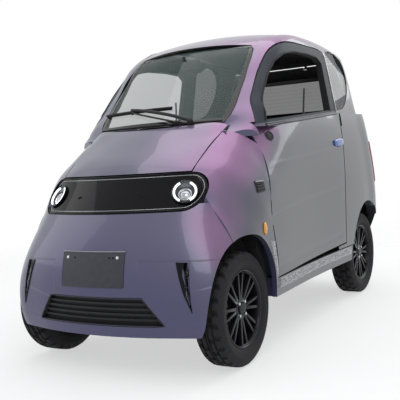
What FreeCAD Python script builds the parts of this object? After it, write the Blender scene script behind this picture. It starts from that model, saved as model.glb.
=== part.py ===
import FreeCAD, Part
import math
import os

# Microcar: a one-box electric two-door hatchback on four wheels.
# Millimetres. +Z up, the nose points to -Y, +X is the car's left side.
# The origin is on the ground, under the middle of the car.

V = FreeCAD.Vector
MIRROR_PLANE = V(1, 0, 0)
UP = V(0, 0, 1)
LEFTWARD = V(1, 0, 0)
BACKWARD = V(0, 1, 0)

# Whole car
car_length = 2490.0
car_width = 1256.0
car_height = 1676.0
wheel_base = 1736.0
front_overhang = 393.0
track = 1020.0
panel_gap = 5.0
door_gap = 8.0
seam = 0.3
pin_gap = 0.3
overrun = 60.0

nose_y = -car_length / 2
tail_y = car_length / 2
front_axle_y = nose_y + front_overhang
rear_axle_y = front_axle_y + wheel_base
half_width = car_width / 2

# Wheels
tyre_radius = 265.0
tyre_width = 146.0
tyre_shoulder = 18.0
rim_radius = 186.0
rim_width = 118.0
rim_wall = 7.0
hub_radius = 52.0
hub_bore = 27.0
spoke_width = 15.0
spoke_pairs = 8
scrub = 35.0
wheel_x = track / 2
kingpin_x = wheel_x - scrub
arch_reach = 287.0
arch_height = 606.0
house_wall = 8.0
wheelhouse_x = 262.0
house_outer_x = 490.0

# Heights and places of the main lines
door_front_y = nose_y + 610.0
floor_height = 242.0
bumper_bottom = 196.0
bar_bottom = 734.0
bar_top = 905.0
cowl_height = 1132.0
waist_height = 1100.0
waist_rise_share = 0.072
header_height = 1570.0

# Places along the centre line
bar_foot_y = nose_y + 120.0
bar_head_y = nose_y + 225.0
cowl_y = nose_y + 573.0
header_y = nose_y + 1013.0
roof_peak_y = nose_y + 1545.0
tail_head_y = tail_y - 90.0

# Form of the skin
nose_height = 370.0
nose_lean_share = 0.09
front_bow_radius = 900.0
screen_bow_radius = 860.0
tail_bow_radius = 2600.0
side_bow_radius = 30000.0
tuck_height = 600.0
tuck_depth = 60.0
shoulder_inset = 22.0
shoulder_crown = 40.0
shoulder_depth = 44.0
waist_depth = 24.0
house_inset = 18.0
waist_overlap = 45.0
house_lean_share = 0.17
roof_crown_radius = 2300.0
roof_front_radius = 1450.0
roof_rear_radius = 5600.0
tail_height = 640.0
tail_lean_share = 0.05
hatch_lean_share = 0.16
nose_corner_radius = 240.0
foot_corner_radius = 100.0
foot_bow_radius = 1400.0
tail_corner_radius = 110.0
hatch_corner_radius = 150.0
pillar_radius = 70.0
roof_edge_radius = 75.0
brow_radius = 60.0

# Panel thicknesses
bumper_wall = 34.0
fender_wall = 26.0
bonnet_wall = 30.0
roof_wall = 20.0
frame_wall = 46.0
door_wall = 78.0
tailgate_wall = 46.0
glass_wall = 6.0
glass_inset = 4.0
glass_lap = 14.0
roof_lap = 18.0


tiny = 0.001

# Door, sill and side glass
door_run = 1240.0
sill_top = 358.0
sill_bottom = 262.0
sill_wall = 60.0
sill_flange = 14.0
sill_front_y = front_axle_y + arch_reach + 12.0
sill_back_y = rear_axle_y - arch_reach - 12.0
door_lip = 3.0
pad_y = nose_y + 815.0
pad_z = 1052.0
pad_radius = 27.0
pad_proud = 5.0
cabin_rise = 478.0
frame_inset = 2.0
frame_depth = 38.0
frame_low_angle = 17.0
frame_high_angle = 63.0
frame_centre_share = 0.5
quarter_centre_share = 0.6
door_front_shares = ((0.089, 1.03), (0.072, 0.8), (0.038, 0.6), (0.028, 0.4), (0.05, 0.22), (0.088, 0.0))
door_back_shares = ((0.895, 0.04), (0.895, 0.35), (0.925, 0.65), (0.975, 1.12))
frame_front_shares = ((0.092, 0.0), (0.176, 0.33), (0.252, 0.535), (0.345, 0.77), (0.42, 0.9), (0.49, 0.962),
                      (0.6, 0.998), (0.775, 1.0))
frame_top_shares = ((0.93, 0.997), (0.996, 0.965))
frame_back_shares = ((1.0, 0.93), (0.992, 0.16), (0.983, 0.0))
opening_front_shares = ((0.155, 0.066), (0.198, 0.3), (0.297, 0.565), (0.38, 0.733), (0.465, 0.823), (0.576, 0.87),
                        (0.74, 0.884), (0.87, 0.87))
opening_back_shares = ((0.92, 0.8), (0.905, 0.2))
quarter_y = door_front_y + 1262.0
quarter_run = 335.0
quarter_front_shares = ((0.0, 0.2), (0.03, 0.93))
quarter_back_shares = ((0.1, 0.955), (0.85, 0.94), (1.0, 0.8), (0.93, 0.54), (0.72, 0.36), (0.45, 0.258), (0.0, 0.2))

# Nose
nose_fan_y = -700.0
nose_sweep = 76.0
bumper_reach = 764.0
bumper_end_y = nose_y + 292.0
bar_half_length = 466.0
bar_sweep = 66.0
bar_inset = 7.0
bar_wall = 40.0
bar_stay_y = nose_y + 200.0
stay_radius = 16.0
stay_x = 180.0
stay_z = 800.0
front_panel_y = nose_y + 262.0
front_panel_half = 210.0
front_panel_top = 818.0
grille_low = 250.0
grille_high = 370.0
grille_low_x = 352.0
grille_high_x = 258.0
grille_sweep = 42.0
grille_back = 8.0
grille_slats = 4
slat_height = 9.0
slat_inset = 12.0
vent_x = 432.0
vent_width = 22.0
vent_slant = 46.0
vent_top = 522.0
vent_low = 312.0
vent_sweep_low = 34.0
vent_sweep_high = 62.0
plate_half = 176.0
plate_low = 416.0
plate_high = 578.0
plate_wall = 4.0
lamp_x = 374.0
lamp_z = 821.0
lamp_radius = 64.0
lamp_ring = 12.0
lamp_recess = 22.0
lamp_depth = 90.0
lamp_eye_radius = 24.0
lamp_eye_drop = 14.0
lamp_eye_reach = 12.0
lamp_probe = 5.0

# Bonnet and wings
bonnet_front_y = nose_y + 228.0
bonnet_front_x = 372.0
bonnet_back_x = 404.0
cowl_shelf = 6.0
lid_pin_radius = 4.0
lid_pin_reach = 22.0
lid_hinge_y = cowl_y + 32.0
lid_hinge_z = 1085.0
bonnet_angle = 42.0
bonnet_centre_z = 560.0
fender_centre_z = 520.0
fender_low_angle = -30.0
fender_high_angle = 64.0
pillar_front_y = cowl_y + 40.0
pillar_back_y = cowl_y + 190.0

# Cabin shell
post_inner_x = 480.0
post_outer_x = 552.0
post_depth = 52.0
post_top = 870.0
post_back_y = nose_y + 734.0
hinge_x = half_width - 11.0
hinge_y = nose_y + 645.0
hinge_radius = 9.7
hinge_length = 50.0
hinge_heights = (620.0, 740.0)
cabin_end_y = tail_head_y - 55.0
rail_end_y = door_front_y + door_run - 60.0
rail_low = 1545.0
cabin_low_angle = 12.0
cabin_high_angle = 62.0
cabin_centre_z = 900.0
screen_end_y = header_y + 190.0
screen_half_width = 398.0
screen_angle = 22.0
screen_side_shares = ((0.97, 0.02), (1.0, 0.09), (1.0, 0.37), (0.972, 0.75), (0.935, 0.9))
screen_top_shares = ((0.88, 0.955), (0.6, 0.985), (0.0, 1.0))
roof_half_width = 372.0
roof_end_y = tail_y - 128.0
roof_angle = 50.0
header_depth = 40.0

# Tail
tail_fan_y = 600.0
tail_sweep = 80.0
rear_bumper_top = 560.0
rear_bumper_front_y = rear_axle_y + 210.0
hatch_bottom = 566.0
hatch_rise = 978.0
hatch_half_width = 470.0
hatch_sweep = 46.0
waist_lift = 40.0
hatch_side_shares = ((0.98, 0.0), (1.0, 0.1), (1.0, 0.55), (0.9, 0.85), (0.8, 0.98))
hatch_glass_shares = ((0.86, 0.66), (0.8, 0.78), (0.7, 0.92))
hatch_hinge_x = 150.0
hatch_hinge_y = tail_y - 95.0
hatch_hinge_z = hatch_bottom + hatch_rise - 6.0
hatch_pin_radius = 4.0
lug_radius = 7.0
lug_width = 18.0
tail_header_sweep = 33.0
tail_header_top = 1606.0
tail_header_wall = 24.0
quarter_end_y = tail_y - 130.0
quarter_shelf = 1176.0
quarter_back_angle = 26.0
quarter_front_angle = 112.0
tail_lamp_low = 720.0
tail_lamp_high = 990.0
tail_lamp_proud = 6.0
lamp_sweep_low = 46.0
lamp_sweep_high = 52.0

# Running gear
spoke_x = 40.0
spoke_depth = 22.0
spoke_spread = 38.0
hub_depth = 30.0
tyre_seat = 0.7
knuckle_half = 26.0
knuckle_reach = 90.0
disc_radius = 105.0
disc_wall = 10.0
arm_reach = 110.0
beam_half = 220.0
beam_depth = 150.0
beam_low = 190.0
beam_height = 60.0
arm_width = 50.0
arm_height = 24.0
strut_radius = 22.0
strut_x = 298.0
leg_x = 190.0
king_pin_radius = 10.0
arm_eye_radius = 18.0
knuckle_low = 220.0
axle_radius = 32.0
motor_radius = 105.0
motor_half = 130.0
axle_half = 436.0
trail_x = 215.0
battery_half = 330.0
battery_front_y = -420.0
battery_back_y = 420.0
battery_low = 178.0

# Floor and cabin
floor_half = 486.0
door_room_x = 396.0
floor_wall = 20.0
firewall_y = nose_y + 715.0
firewall_top = 880.0
floor_lift = 60.0
floor_end_y = rear_axle_y - arch_reach - 40.0
boot_floor = 470.0
tail_inner_y = tail_y - 62.0
seat_width = 400.0
seat_y = -200.0
seat_depth = 430.0
seat_low = 420.0
seat_thick = 110.0
seat_back = 640.0
driver_x = 240.0
bench_y = 560.0
bench_back = 520.0
dash_depth = 170.0
dash_tuck = 40.0
dash_low = 720.0
dash_high = 1046.0
dash_half = 404.0
cowl_front_y = cowl_y + 84.0
cowl_top = 1050.0
cowl_half = 408.0
wheel_radius = 175.0
wheel_grip = 13.0
wheel_boss = 50.0
wheel_tilt = 62.0
column_length = 190.0
wheel_centre_y = -235.0
wheel_centre_z = 985.0
handle_y = 392.0
handle_length = 170.0
handle_z = 975.0
handle_height = 42.0
handle_proud = 16.0


def round_max(first, second, radius):
    """Corner of two half spaces, rounded with a radius; inside is negative."""
    a = first + radius
    b = second + radius
    if a > 0 and b > 0:
        return math.hypot(a, b) - radius
    return max(first, second)


def waist(y):
    """Height of the waist line."""
    return waist_height + waist_rise_share * (y - door_front_y)


def line_gap(y, z, y0, z0, y1, z1):
    """Distance of a point in front of a line that climbs from y0, z0 to y1, z1."""
    run = math.hypot(y1 - y0, z1 - z0)
    return ((y1 - y0) * (z - z0) - (z1 - z0) * (y - y0)) / run


def flank(y, z):
    """Half width of the lower body: widest over the axles, waisted at the doors."""
    hip = 1.0
    if abs(y) < wheel_base / 2:
        hip = math.sin(math.pi * y / wheel_base) ** 2
    depth = waist_depth + (shoulder_depth - waist_depth) * hip
    if z > tuck_height:
        reach = depth * (1 - ((z - tuck_height) / (waist_height - tuck_height)) ** 2)
    else:
        reach = depth - tuck_depth * ((tuck_height - z) / tuck_height) ** 2
    return half_width - shoulder_depth + reach


def body_field(x, y, z):
    """Negative inside the lower body, near zero on its skin, in millimetres."""
    x = abs(x)
    bow = x * x / (2 * front_bow_radius)
    yb = y - bow
    low = nose_y - y + x * x / (2 * foot_bow_radius) + nose_lean_share * abs(z - nose_height)
    bar = line_gap(yb, z, bar_foot_y, bar_bottom, bar_head_y, bar_top)
    lid = line_gap(yb, z, bar_head_y, bar_top, cowl_y, cowl_height)
    shelf = round_max(round_max(low, bar, brow_radius), lid, brow_radius)
    side = x - flank(y, z)
    blend = min(1.0, max(0.0, (z - nose_height) / (bar_bottom - nose_height)))
    corner = foot_corner_radius + (nose_corner_radius - foot_corner_radius) * blend
    nose = round_max(shelf, side, corner)
    top = z - waist(y) - shoulder_crown * (1 - (x / half_width) ** 2)
    tail = y - tail_y + x * x / (2 * tail_bow_radius) + tail_lean_share * abs(z - tail_height)
    back = round_max(side, tail, tail_corner_radius)
    return max(nose, back, round_max(side, top, shoulder_inset))


def house_field(x, y, z):
    """Negative inside the cabin above the waist, near zero on its skin."""
    x = abs(x)
    yb = y - x * x / (2 * screen_bow_radius)
    screen = line_gap(yb, z, cowl_y, cowl_height, header_y, header_height)
    side = x - (half_width - shoulder_depth - house_inset) + house_lean_share * (z - waist_height)
    side += y * y / (2 * side_bow_radius)
    radius = roof_front_radius if y < roof_peak_y else roof_rear_radius
    dome = car_height - (y - roof_peak_y) ** 2 / (2 * radius) - x * x / (2 * roof_crown_radius)
    roof = z - dome
    tail = y - tail_head_y + hatch_lean_share * (z - header_height) + x * x / (2 * tail_bow_radius)
    ring = round_max(round_max(screen, side, pillar_radius), roof, roof_edge_radius)
    back = round_max(round_max(tail, side, hatch_corner_radius), roof, roof_edge_radius)
    return max(ring, back)


def skin_field(x, y, z):
    """The whole outer form: lower body and cabin together."""
    return min(body_field(x, y, z), max(house_field(x, y, z), waist(y) - waist_overlap - z))


def hit(field, start, direction, level):
    """Point where a ray from inside reaches a level of the form."""
    near = 0.0
    far = car_length
    for _ in range(30):
        middle = (near + far) / 2
        p = start + direction * middle
        if field(p.x, p.y, p.z) < level:
            near = middle
        else:
            far = middle
    return start + direction * near


def spread(low, high, count):
    """Evenly spaced values from low to high."""
    return [low + (high - low) * k / (count - 1) for k in range(count)]


def skin(ends, shift):
    """Smooth surface through the ends of a grid of rays, shifted along the rays."""
    surface = Part.BSplineSurface()
    surface.interpolate([[point + way * shift for point, way in row] for row in ends])
    return surface


def borders(surface):
    """The four edges of a surface, as curves."""
    u0, u1, v0, v1 = surface.bounds()
    return [surface.uIso(u0), surface.uIso(u1), surface.vIso(v0), surface.vIso(v1)]


def block(rays, outer, inner, field=None, straight=False):
    """Solid between two shifts along a grid of rays that end on the form.

    A straight one has an inner face that is ruled from its first to its last column.
    """
    field = field or skin_field
    ends = [[(hit(field, start, way, 0.0), way) for start, way in row] for row in rays]
    front = skin(ends, outer)
    back = skin([[row[0], row[-1]] for row in ends] if straight else ends, inner)
    faces = [front.toShape(), back.toShape()]
    for a, b in zip(borders(front), borders(back)):
        faces.append(Part.makeRuledSurface(a.toShape(), b.toShape()))
    shell = Part.makeShell(faces)
    shell.sewShape()
    solid = Part.makeSolid(shell)
    if solid.Volume < 0:
        solid.reverse()
    return solid


def side_rays(y0, y1, z0, top, ny, nz):
    """Rays that leave the middle plane sideways, up to a height given for each y."""
    return [[(V(0, y, z), LEFTWARD) for z in spread(z0, top(y), nz)] for y in spread(y0, y1, ny)]


def fan_rays(a0, a1, z0, z1, centre_y, na, nz, forward=-1):
    """Level rays that fan out about an upright axis; 0 degrees is straight ahead."""
    rows = []
    for a in spread(a0, a1, na):
        way = V(math.sin(math.radians(a)), forward * math.cos(math.radians(a)), 0)
        rows.append([(V(0, centre_y, z), way) for z in spread(z0, z1, nz)])
    return rows


def hoop_rays(y0, y1, a0, a1, centre_z, ny, na):
    """Rays in upright cross planes that fan out about a lengthwise axis; 90 degrees is up."""
    rows = []
    for y in spread(y0, y1, ny):
        row = []
        for a in spread(a0, a1, na):
            way = V(math.cos(math.radians(a)), 0, math.sin(math.radians(a)))
            row.append((V(0, y, centre_z), way))
        rows.append(row)
    return rows


def outline(runs, close=True):
    """Closed wire from runs of points; a run of three or more points is one smooth curve."""
    edges = []
    for k, run in enumerate(runs):
        if len(run) == 2:
            edges.append(Part.makeLine(run[0], run[1]))
        else:
            curve = Part.BSplineCurve()
            curve.interpolate(run)
            edges.append(curve.toShape())
        last = run[-1]
        start = runs[(k + 1) % len(runs)][0]
        if (start - last).Length > tiny:
            edges.append(Part.makeLine(last, start))
    return Part.Wire(edges)


def prism_x(runs, x0, x1):
    """Prism along X over runs of (y, z) points."""
    wire = outline([[V(x0, y, z) for y, z in run] for run in runs])
    return Part.Face(wire).extrude(V(x1 - x0, 0, 0))


def prism_y(runs, y0, y1):
    """Prism along Y over runs of (x, z) points."""
    wire = outline([[V(x, y0, z) for x, z in run] for run in runs])
    return Part.Face(wire).extrude(V(0, y1 - y0, 0))


def prism_z(runs, z0, z1):
    """Prism along Z over runs of (x, y) points."""
    wire = outline([[V(x, y, z0) for x, y in run] for run in runs])
    return Part.Face(wire).extrude(V(0, 0, z1 - z0))


def box(x0, x1, y0, y1, z0, z1):
    """Box from its limits."""
    return Part.makeBox(x1 - x0, y1 - y0, z1 - z0, V(x0, y0, z0))


def tube_x(radius, x0, x1, y, z):
    """Cylinder along X."""
    return Part.makeCylinder(radius, x1 - x0, V(x0, y, z), LEFTWARD)


def mirrored(shape):
    """The same piece on the other side of the car."""
    return shape.mirror(V(0, 0, 0), MIRROR_PLANE)


def door_line(grow):
    """Outline of the door skin below the waist, in (y, z), grown by a gap."""
    low, high = sill_top - grow, waist_height
    front = [(door_front_y + door_run * a - grow, low + (high - low) * b) for a, b in door_front_shares]
    back = [(door_front_y + door_run * a + grow, low + (high - low) * b) for a, b in door_back_shares]
    return [front, back]


def frame_line(grow):
    """Outline of the door's window frame, in (y, z), grown by a gap."""
    return [shifted(frame_front_shares, grow), shifted(frame_top_shares, grow), shifted(frame_back_shares, grow)]


def opening_line(grow=0.0):
    """Outline of the door's window opening, in (y, z)."""
    return [shifted(opening_front_shares, grow), shifted(opening_back_shares, grow)]


def shifted(shares, grow):
    """Points given as shares of the door's run and the cabin's height, pushed away from the middle."""
    cy = door_front_y + door_run * frame_centre_share
    cz = waist_height + cabin_rise * frame_centre_share
    points = []
    for a, b in shares:
        y = door_front_y + door_run * a
        z = waist_height + cabin_rise * b
        reach = math.hypot(y - cy, z - cz)
        points.append((y + grow * (y - cy) / reach, z + grow * (z - cz) / reach))
    return points


def arch_line(axle_y, grow=0.0):
    """Outline of a wheel arch, in (y, z): an upright half ellipse on straight legs."""
    points = []
    rise = arch_height - tyre_radius
    for k in range(13):
        a = math.pi * k / 12
        points.append((axle_y - (arch_reach + grow) * math.cos(a), tyre_radius + (rise + grow) * math.sin(a)))
    foot = 0.0
    return [points, [points[-1], (points[-1][0], foot)], [(points[0][0], foot), points[0]]]


def arch_cut(axle_y, x0, x1, grow=0.0):
    """Solid that opens a wheel arch on the left side."""
    return prism_x(arch_line(axle_y, grow), x0, x1)


def bar_line(grow):
    """Outline of the light bar, in (x, z): a long rounded strip."""
    radius = (bar_top - bar_bottom) / 2 + grow
    mid = (bar_top + bar_bottom) / 2
    reach = bar_half_length + grow - radius
    right = [(reach + radius * math.cos(a), mid + radius * math.sin(a))
             for a in spread(-math.pi / 2, math.pi / 2, 9)]
    left = [(-x, z) for x, z in reversed(right)]
    return [right, left]


def bonnet_line(grow):
    """Plan outline of the bonnet, in (x, y), grown by a gap."""
    front = bonnet_front_y - grow
    bow_front = [(x, front + x * x / (2 * front_bow_radius)) for x in spread(-bonnet_front_x - grow,
                                                                          bonnet_front_x + grow, 7)]
    bow_back = [(x, cowl_y + grow - cowl_shelf + x * x / (2 * screen_bow_radius))
                for x in spread(bonnet_back_x + grow, -bonnet_back_x - grow, 7)]
    return [bow_front, bow_back]


def screen_line(grow):
    """Front outline of the windscreen, in (x, z), grown by a gap."""
    rise = header_height - cowl_height
    right = [(screen_half_width * a + grow, cowl_height + rise * b) for a, b in screen_side_shares]
    right[0] = (right[0][0], right[0][1] - grow)
    top = [(screen_half_width * a, cowl_height + rise * b + grow) for a, b in screen_top_shares]
    bottom = cowl_height - grow
    left = [(-x, z) for x, z in reversed(right)]
    topleft = [(-x, z) for x, z in reversed(top)]
    return [right, top + topleft[1:], left, [(left[-1][0] + panel_gap, bottom), (right[0][0] - panel_gap, bottom)]]


def quarter_line(grow):
    """Outline of the quarter glass, in (y, z), grown by a gap."""
    return [shifted_about(quarter_front_shares, grow), shifted_about(quarter_back_shares, grow)]


def shifted_about(shares, grow):
    """Points of the quarter glass as shares of its run and of the cabin's height."""
    cy = quarter_y + quarter_run * frame_centre_share
    cz = waist_height + cabin_rise * quarter_centre_share
    points = []
    for a, b in shares:
        y = quarter_y + quarter_run * a
        z = waist_height + cabin_rise * b
        reach = math.hypot(y - cy, z - cz)
        points.append((y + grow * (y - cy) / reach, z + grow * (z - cz) / reach))
    return points


def hatch_line(grow):
    """Rear outline of the tailgate, in (x, z), grown by a gap."""
    right = [(hatch_half_width * a + grow, hatch_bottom + hatch_rise * b) for a, b in hatch_side_shares]
    left = [(-x, z) for x, z in reversed(right)]
    return [[(left[-1][0], hatch_bottom - grow), (right[0][0], hatch_bottom - grow)], right,
            [(right[-1][0], hatch_bottom + hatch_rise + grow), (left[0][0], hatch_bottom + hatch_rise + grow)],
            left]


def hatch_glass_line(grow):
    """Rear outline of the tailgate's window, in (x, z)."""
    right = [(hatch_half_width * a + grow, hatch_bottom + hatch_rise * b) for a, b in hatch_glass_shares]
    left = [(-x, z) for x, z in reversed(right)]
    return [right, left]


def bumper_rays():
    """Rays to the nose below the light bar."""
    return fan_rays(-nose_sweep, nose_sweep, bumper_bottom, bumper_reach, nose_fan_y, 19, 5)


def front_bumper():
    """Painted nose from the sill of the light bar to the lip, with its grille mouth and vents."""
    body = block(bumper_rays(), 0.0, -bumper_wall, body_field, True)
    body = body.cut(prism_y(bar_line(seam), nose_y - overrun, nose_fan_y))
    body = body.cut(prism_y(grille_line(0.0), nose_y - overrun, nose_fan_y))
    body = body.cut(box(-car_width, car_width, bumper_end_y, tail_y, 0.0, car_height))
    arch = arch_cut(front_axle_y, wheelhouse_x, half_width + overrun)
    body = body.cut(arch).cut(mirrored(arch))
    return body.cut(vent_cut()).cut(mirrored(vent_cut()))


def grille_line(inset):
    """Front outline of the lower mouth, in (x, z)."""
    return [[(-grille_low_x + inset, grille_low), (grille_low_x - inset, grille_low)],
            [(grille_high_x - inset, grille_high), (-grille_high_x + inset, grille_high)]]


def vent_cut():
    """Upright slit in the nose's left corner, cut to half the wall."""
    points = [(vent_x, vent_top), (vent_x + vent_width, vent_top), (vent_x + vent_slant, vent_low)]
    runs = [[points[0], points[1]], [points[1], points[2]], [points[2], points[0]]]
    tool = prism_y(runs, nose_y - overrun, nose_fan_y)
    rays = fan_rays(vent_sweep_low, vent_sweep_high, vent_low - overrun, vent_top + overrun, nose_fan_y, 7, 5)
    slab = block(rays, overrun, -bumper_wall / 2, body_field)
    return slab.common(tool)


def lower_grille():
    """Slatted insert in the lower mouth."""
    rays = fan_rays(-grille_sweep, grille_sweep, grille_low, grille_high, nose_fan_y, 7, 2)
    back = block(rays, -bumper_wall + grille_back, -bumper_wall, body_field)
    clip = prism_y(grille_line(seam), nose_y - overrun, nose_fan_y)
    body = back.common(clip)
    pitch = (grille_high - grille_low) / (grille_slats + 1)
    for k in range(grille_slats):
        z = grille_low + pitch * (k + 1)
        rays = fan_rays(-grille_sweep, grille_sweep, z - slat_height / 2, z + slat_height / 2, nose_fan_y, 7, 2)
        slat = block(rays, -slat_inset, -bumper_wall + grille_back / 2, body_field).common(clip)
        body = body.fuse(slat)
    return body


def light_bar():
    """Gloss black strip with the headlamps in it, set a little below the paint."""
    rays = fan_rays(-bar_sweep, bar_sweep, bar_bottom, bar_top, nose_fan_y, 13, 2)
    body = block(rays, -bar_inset, -bar_inset - bar_wall, body_field)
    body = body.common(prism_y(bar_line(0.0), nose_y - overrun, nose_fan_y))
    for sign in (-1, 1):
        body = body.cut(lamp_socket(sign, seam))
        body = body.fuse(stay(sign * stay_x, stay_z, bar_stay_y))
    return body


def stay(x, z, y0):
    """Round stay that carries a nose panel from the front panel, which stands behind it."""
    return Part.makeCylinder(stay_radius, front_panel_y - y0, V(x, y0, z), BACKWARD)


def lamp_seat():
    """Middle of the left headlamp on the light bar's face, and the way it looks."""
    seat_point = hit(body_field, V(lamp_x, nose_fan_y, lamp_z), -BACKWARD, -bar_inset)
    p = seat_point
    slope = V(body_field(p.x + lamp_probe, p.y, p.z) - body_field(p.x - lamp_probe, p.y, p.z),
              body_field(p.x, p.y + lamp_probe, p.z) - body_field(p.x, p.y - lamp_probe, p.z),
              body_field(p.x, p.y, p.z + lamp_probe) - body_field(p.x, p.y, p.z - lamp_probe))
    return seat_point, slope.normalize()


def lamp_socket(sign, grow):
    """Cylinder along a headlamp's axis, square to the light bar's face."""
    point, way = lamp_seat()
    shape = Part.makeCylinder(lamp_radius + grow, lamp_depth + overrun, point + way * overrun, -way)
    return shape if sign > 0 else mirrored(shape)


def headlamp():
    """Left headlamp: a round pot with a raised light ring and a lens in its lower half."""
    point, way = lamp_seat()
    down = (way * way.z - UP).normalize()
    pot = Part.makeCylinder(lamp_radius, lamp_depth, point, -way)
    hollow = Part.makeCylinder(lamp_radius - lamp_ring, lamp_recess, point, -way)
    eye = Part.makeCone(lamp_eye_radius / 2, lamp_eye_radius, lamp_eye_reach + lamp_ring,
                        point - way * (lamp_recess - lamp_eye_reach) + down * lamp_eye_drop, -way)
    return pot.cut(hollow).fuse(eye)


def bonnet():
    """Lid between the light bar and the windscreen, bored for its hinge pins."""
    rays = hoop_rays(bonnet_front_y - overrun / 2, cowl_y + overrun * 2, bonnet_angle, 180.0 - bonnet_angle,
                     bonnet_centre_z, 7, 9)
    body = block(rays, 0.0, -bonnet_wall, body_field)
    body = body.common(prism_z(bonnet_line(0.0), 0.0, car_height))
    body = body.cut(prism_y(bar_line(panel_gap), nose_y - overrun, cowl_y))
    for sign in (-1, 1):
        body = body.cut(lid_pin(sign, lid_pin_radius + pin_gap, panel_gap))
    return body


def lid_pin(sign, radius, spare):
    """Pin along X at one rear corner of the bonnet; spare lengthens its inner end."""
    x0 = bonnet_back_x - lid_pin_reach - spare
    x1 = bonnet_back_x + lid_pin_reach
    shape = tube_x(radius, x0, x1, lid_hinge_y, lid_hinge_z)
    return shape if sign > 0 else mirrored(shape)


def fender():
    """Left front wing, from the nose joint to the door and from the arch to the bonnet."""
    rays = hoop_rays(bumper_end_y - overrun / 2, door_front_y + overrun * 2, fender_low_angle, fender_high_angle,
                     fender_centre_z, 9, 11)
    body = block(rays, 0.0, -fender_wall, body_field)
    body = body.cut(box(0.0, car_width, nose_y - overrun, bumper_end_y + seam, 0.0, car_height))
    body = body.cut(prism_z(bonnet_line(panel_gap), 0.0, car_height))
    body = body.cut(prism_y(bar_line(seam), nose_y - overrun, cowl_y))
    body = body.cut(arch_cut(front_axle_y, wheelhouse_x, half_width + overrun))
    body = body.cut(prism_x(door_line(door_gap), 0.0, car_width))
    body = body.cut(pillar_foot(0.0))
    body = body.cut(box(0.0, car_width, nose_y, tail_y, 0.0, sill_bottom))
    body = body.cut(box(0.0, car_width, sill_front_y - seam, tail_y, 0.0, sill_top))
    body = body.fuse(lid_pin(1, lid_pin_radius, 0.0))
    for z in hinge_heights:
        body = body.cut(Part.makeCylinder(hinge_radius + pin_gap, hinge_length + pin_gap * 2,
                                          V(hinge_x, hinge_y, z - pin_gap)))
    return body


def pillar_foot(grow):
    """Plan wedge that parts the wing from the windscreen pillar, on the left."""
    points = [(0.0, cowl_y - cowl_shelf + grow), (bonnet_back_x + door_gap, pillar_front_y + grow),
              (half_width, pillar_back_y + grow), (half_width, tail_y), (0.0, tail_y)]
    runs = [[points[k], points[(k + 1) % len(points)]] for k in range(len(points))]
    return prism_z(runs, 0.0, car_height)


def rail_line():
    """Side outline of the pillar and roof rail, in (y, z): an L laid over the side glass."""
    front = pillar_front_y - cowl_shelf
    middle = door_front_y + door_run / 2
    low = waist_height - waist_overlap
    ledge = rail_low + seam
    points = [(front, low), (middle, low), (middle, ledge), (cabin_end_y, ledge),
              (cabin_end_y, car_height + overrun), (front, car_height + overrun)]
    return [[points[k], points[(k + 1) % len(points)]] for k in range(len(points))]


def side_frame():
    """Left windscreen pillar and roof rail, with seats for the glass and the roof."""
    rail = block(hoop_rays(cowl_y + overrun / 2, cabin_end_y, cabin_low_angle, cabin_high_angle,
                           cabin_centre_z, 15, 9), 0.0, -frame_wall, house_field)
    rail = rail.common(prism_x(rail_line(), 0.0, car_width))
    rail = rail.common(pillar_foot(seam))
    rail = rail.cut(prism_z(bonnet_line(door_gap), 0.0, car_height))
    rail = rail.cut(prism_x(door_line(door_gap), 0.0, car_width))
    rail = rail.cut(screen_seat()).cut(prism_y(screen_line(-glass_lap), nose_y, screen_end_y))
    rail = rail.cut(roof_seat()).cut(prism_z(roof_line(-roof_lap), waist_height, car_height + overrun))
    rail = rail.cut(prism_x(frame_line(door_gap), 0.0, car_width))
    rail = rail.cut(quarter_seat()).cut(prism_x(quarter_line(-glass_lap), 0.0, car_width))
    return rail.cut(prism_y(hatch_line(door_gap), quarter_end_y - overrun, tail_y + overrun))


def hinge_post():
    """Inner post ahead of the left door, at the end of the bulkhead."""
    post = box(post_inner_x, post_outer_x, hinge_y - post_depth, post_back_y, sill_bottom, post_top)
    post = post.cut(prism_x(door_line(door_gap), 0.0, car_width))
    post = post.cut(box(0.0, car_width, sill_front_y - seam, tail_y, 0.0, sill_top))
    return post.cut(arch_cut(front_axle_y, wheelhouse_x, half_width))


def screen_seat():
    """Cutter for the ledge that the windscreen lies on."""
    slab = block(screen_rays(), overrun / 2, -glass_inset - glass_wall - seam, house_field)
    return slab.common(prism_y(screen_line(panel_gap), nose_y, screen_end_y))


def roof_seat():
    """Cutter for the ledge that the roof panel lies on."""
    slab = block(roof_rays(), overrun / 2, -roof_wall - seam, house_field)
    return slab.common(prism_z(roof_line(seam), waist_height, car_height + overrun))


def quarter_seat():
    """Cutter for the ledge that the left quarter glass lies on."""
    slab = block(quarter_rays(), overrun / 2, -glass_inset - glass_wall - seam, house_field)
    return slab.common(prism_x(quarter_line(panel_gap), 0.0, car_width))


def corner_rays():
    """Rays to the left rear corner below the waist."""
    return fan_rays(quarter_back_angle, quarter_front_angle, sill_top, quarter_shelf, tail_fan_y, 11, 6, 1)


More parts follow.
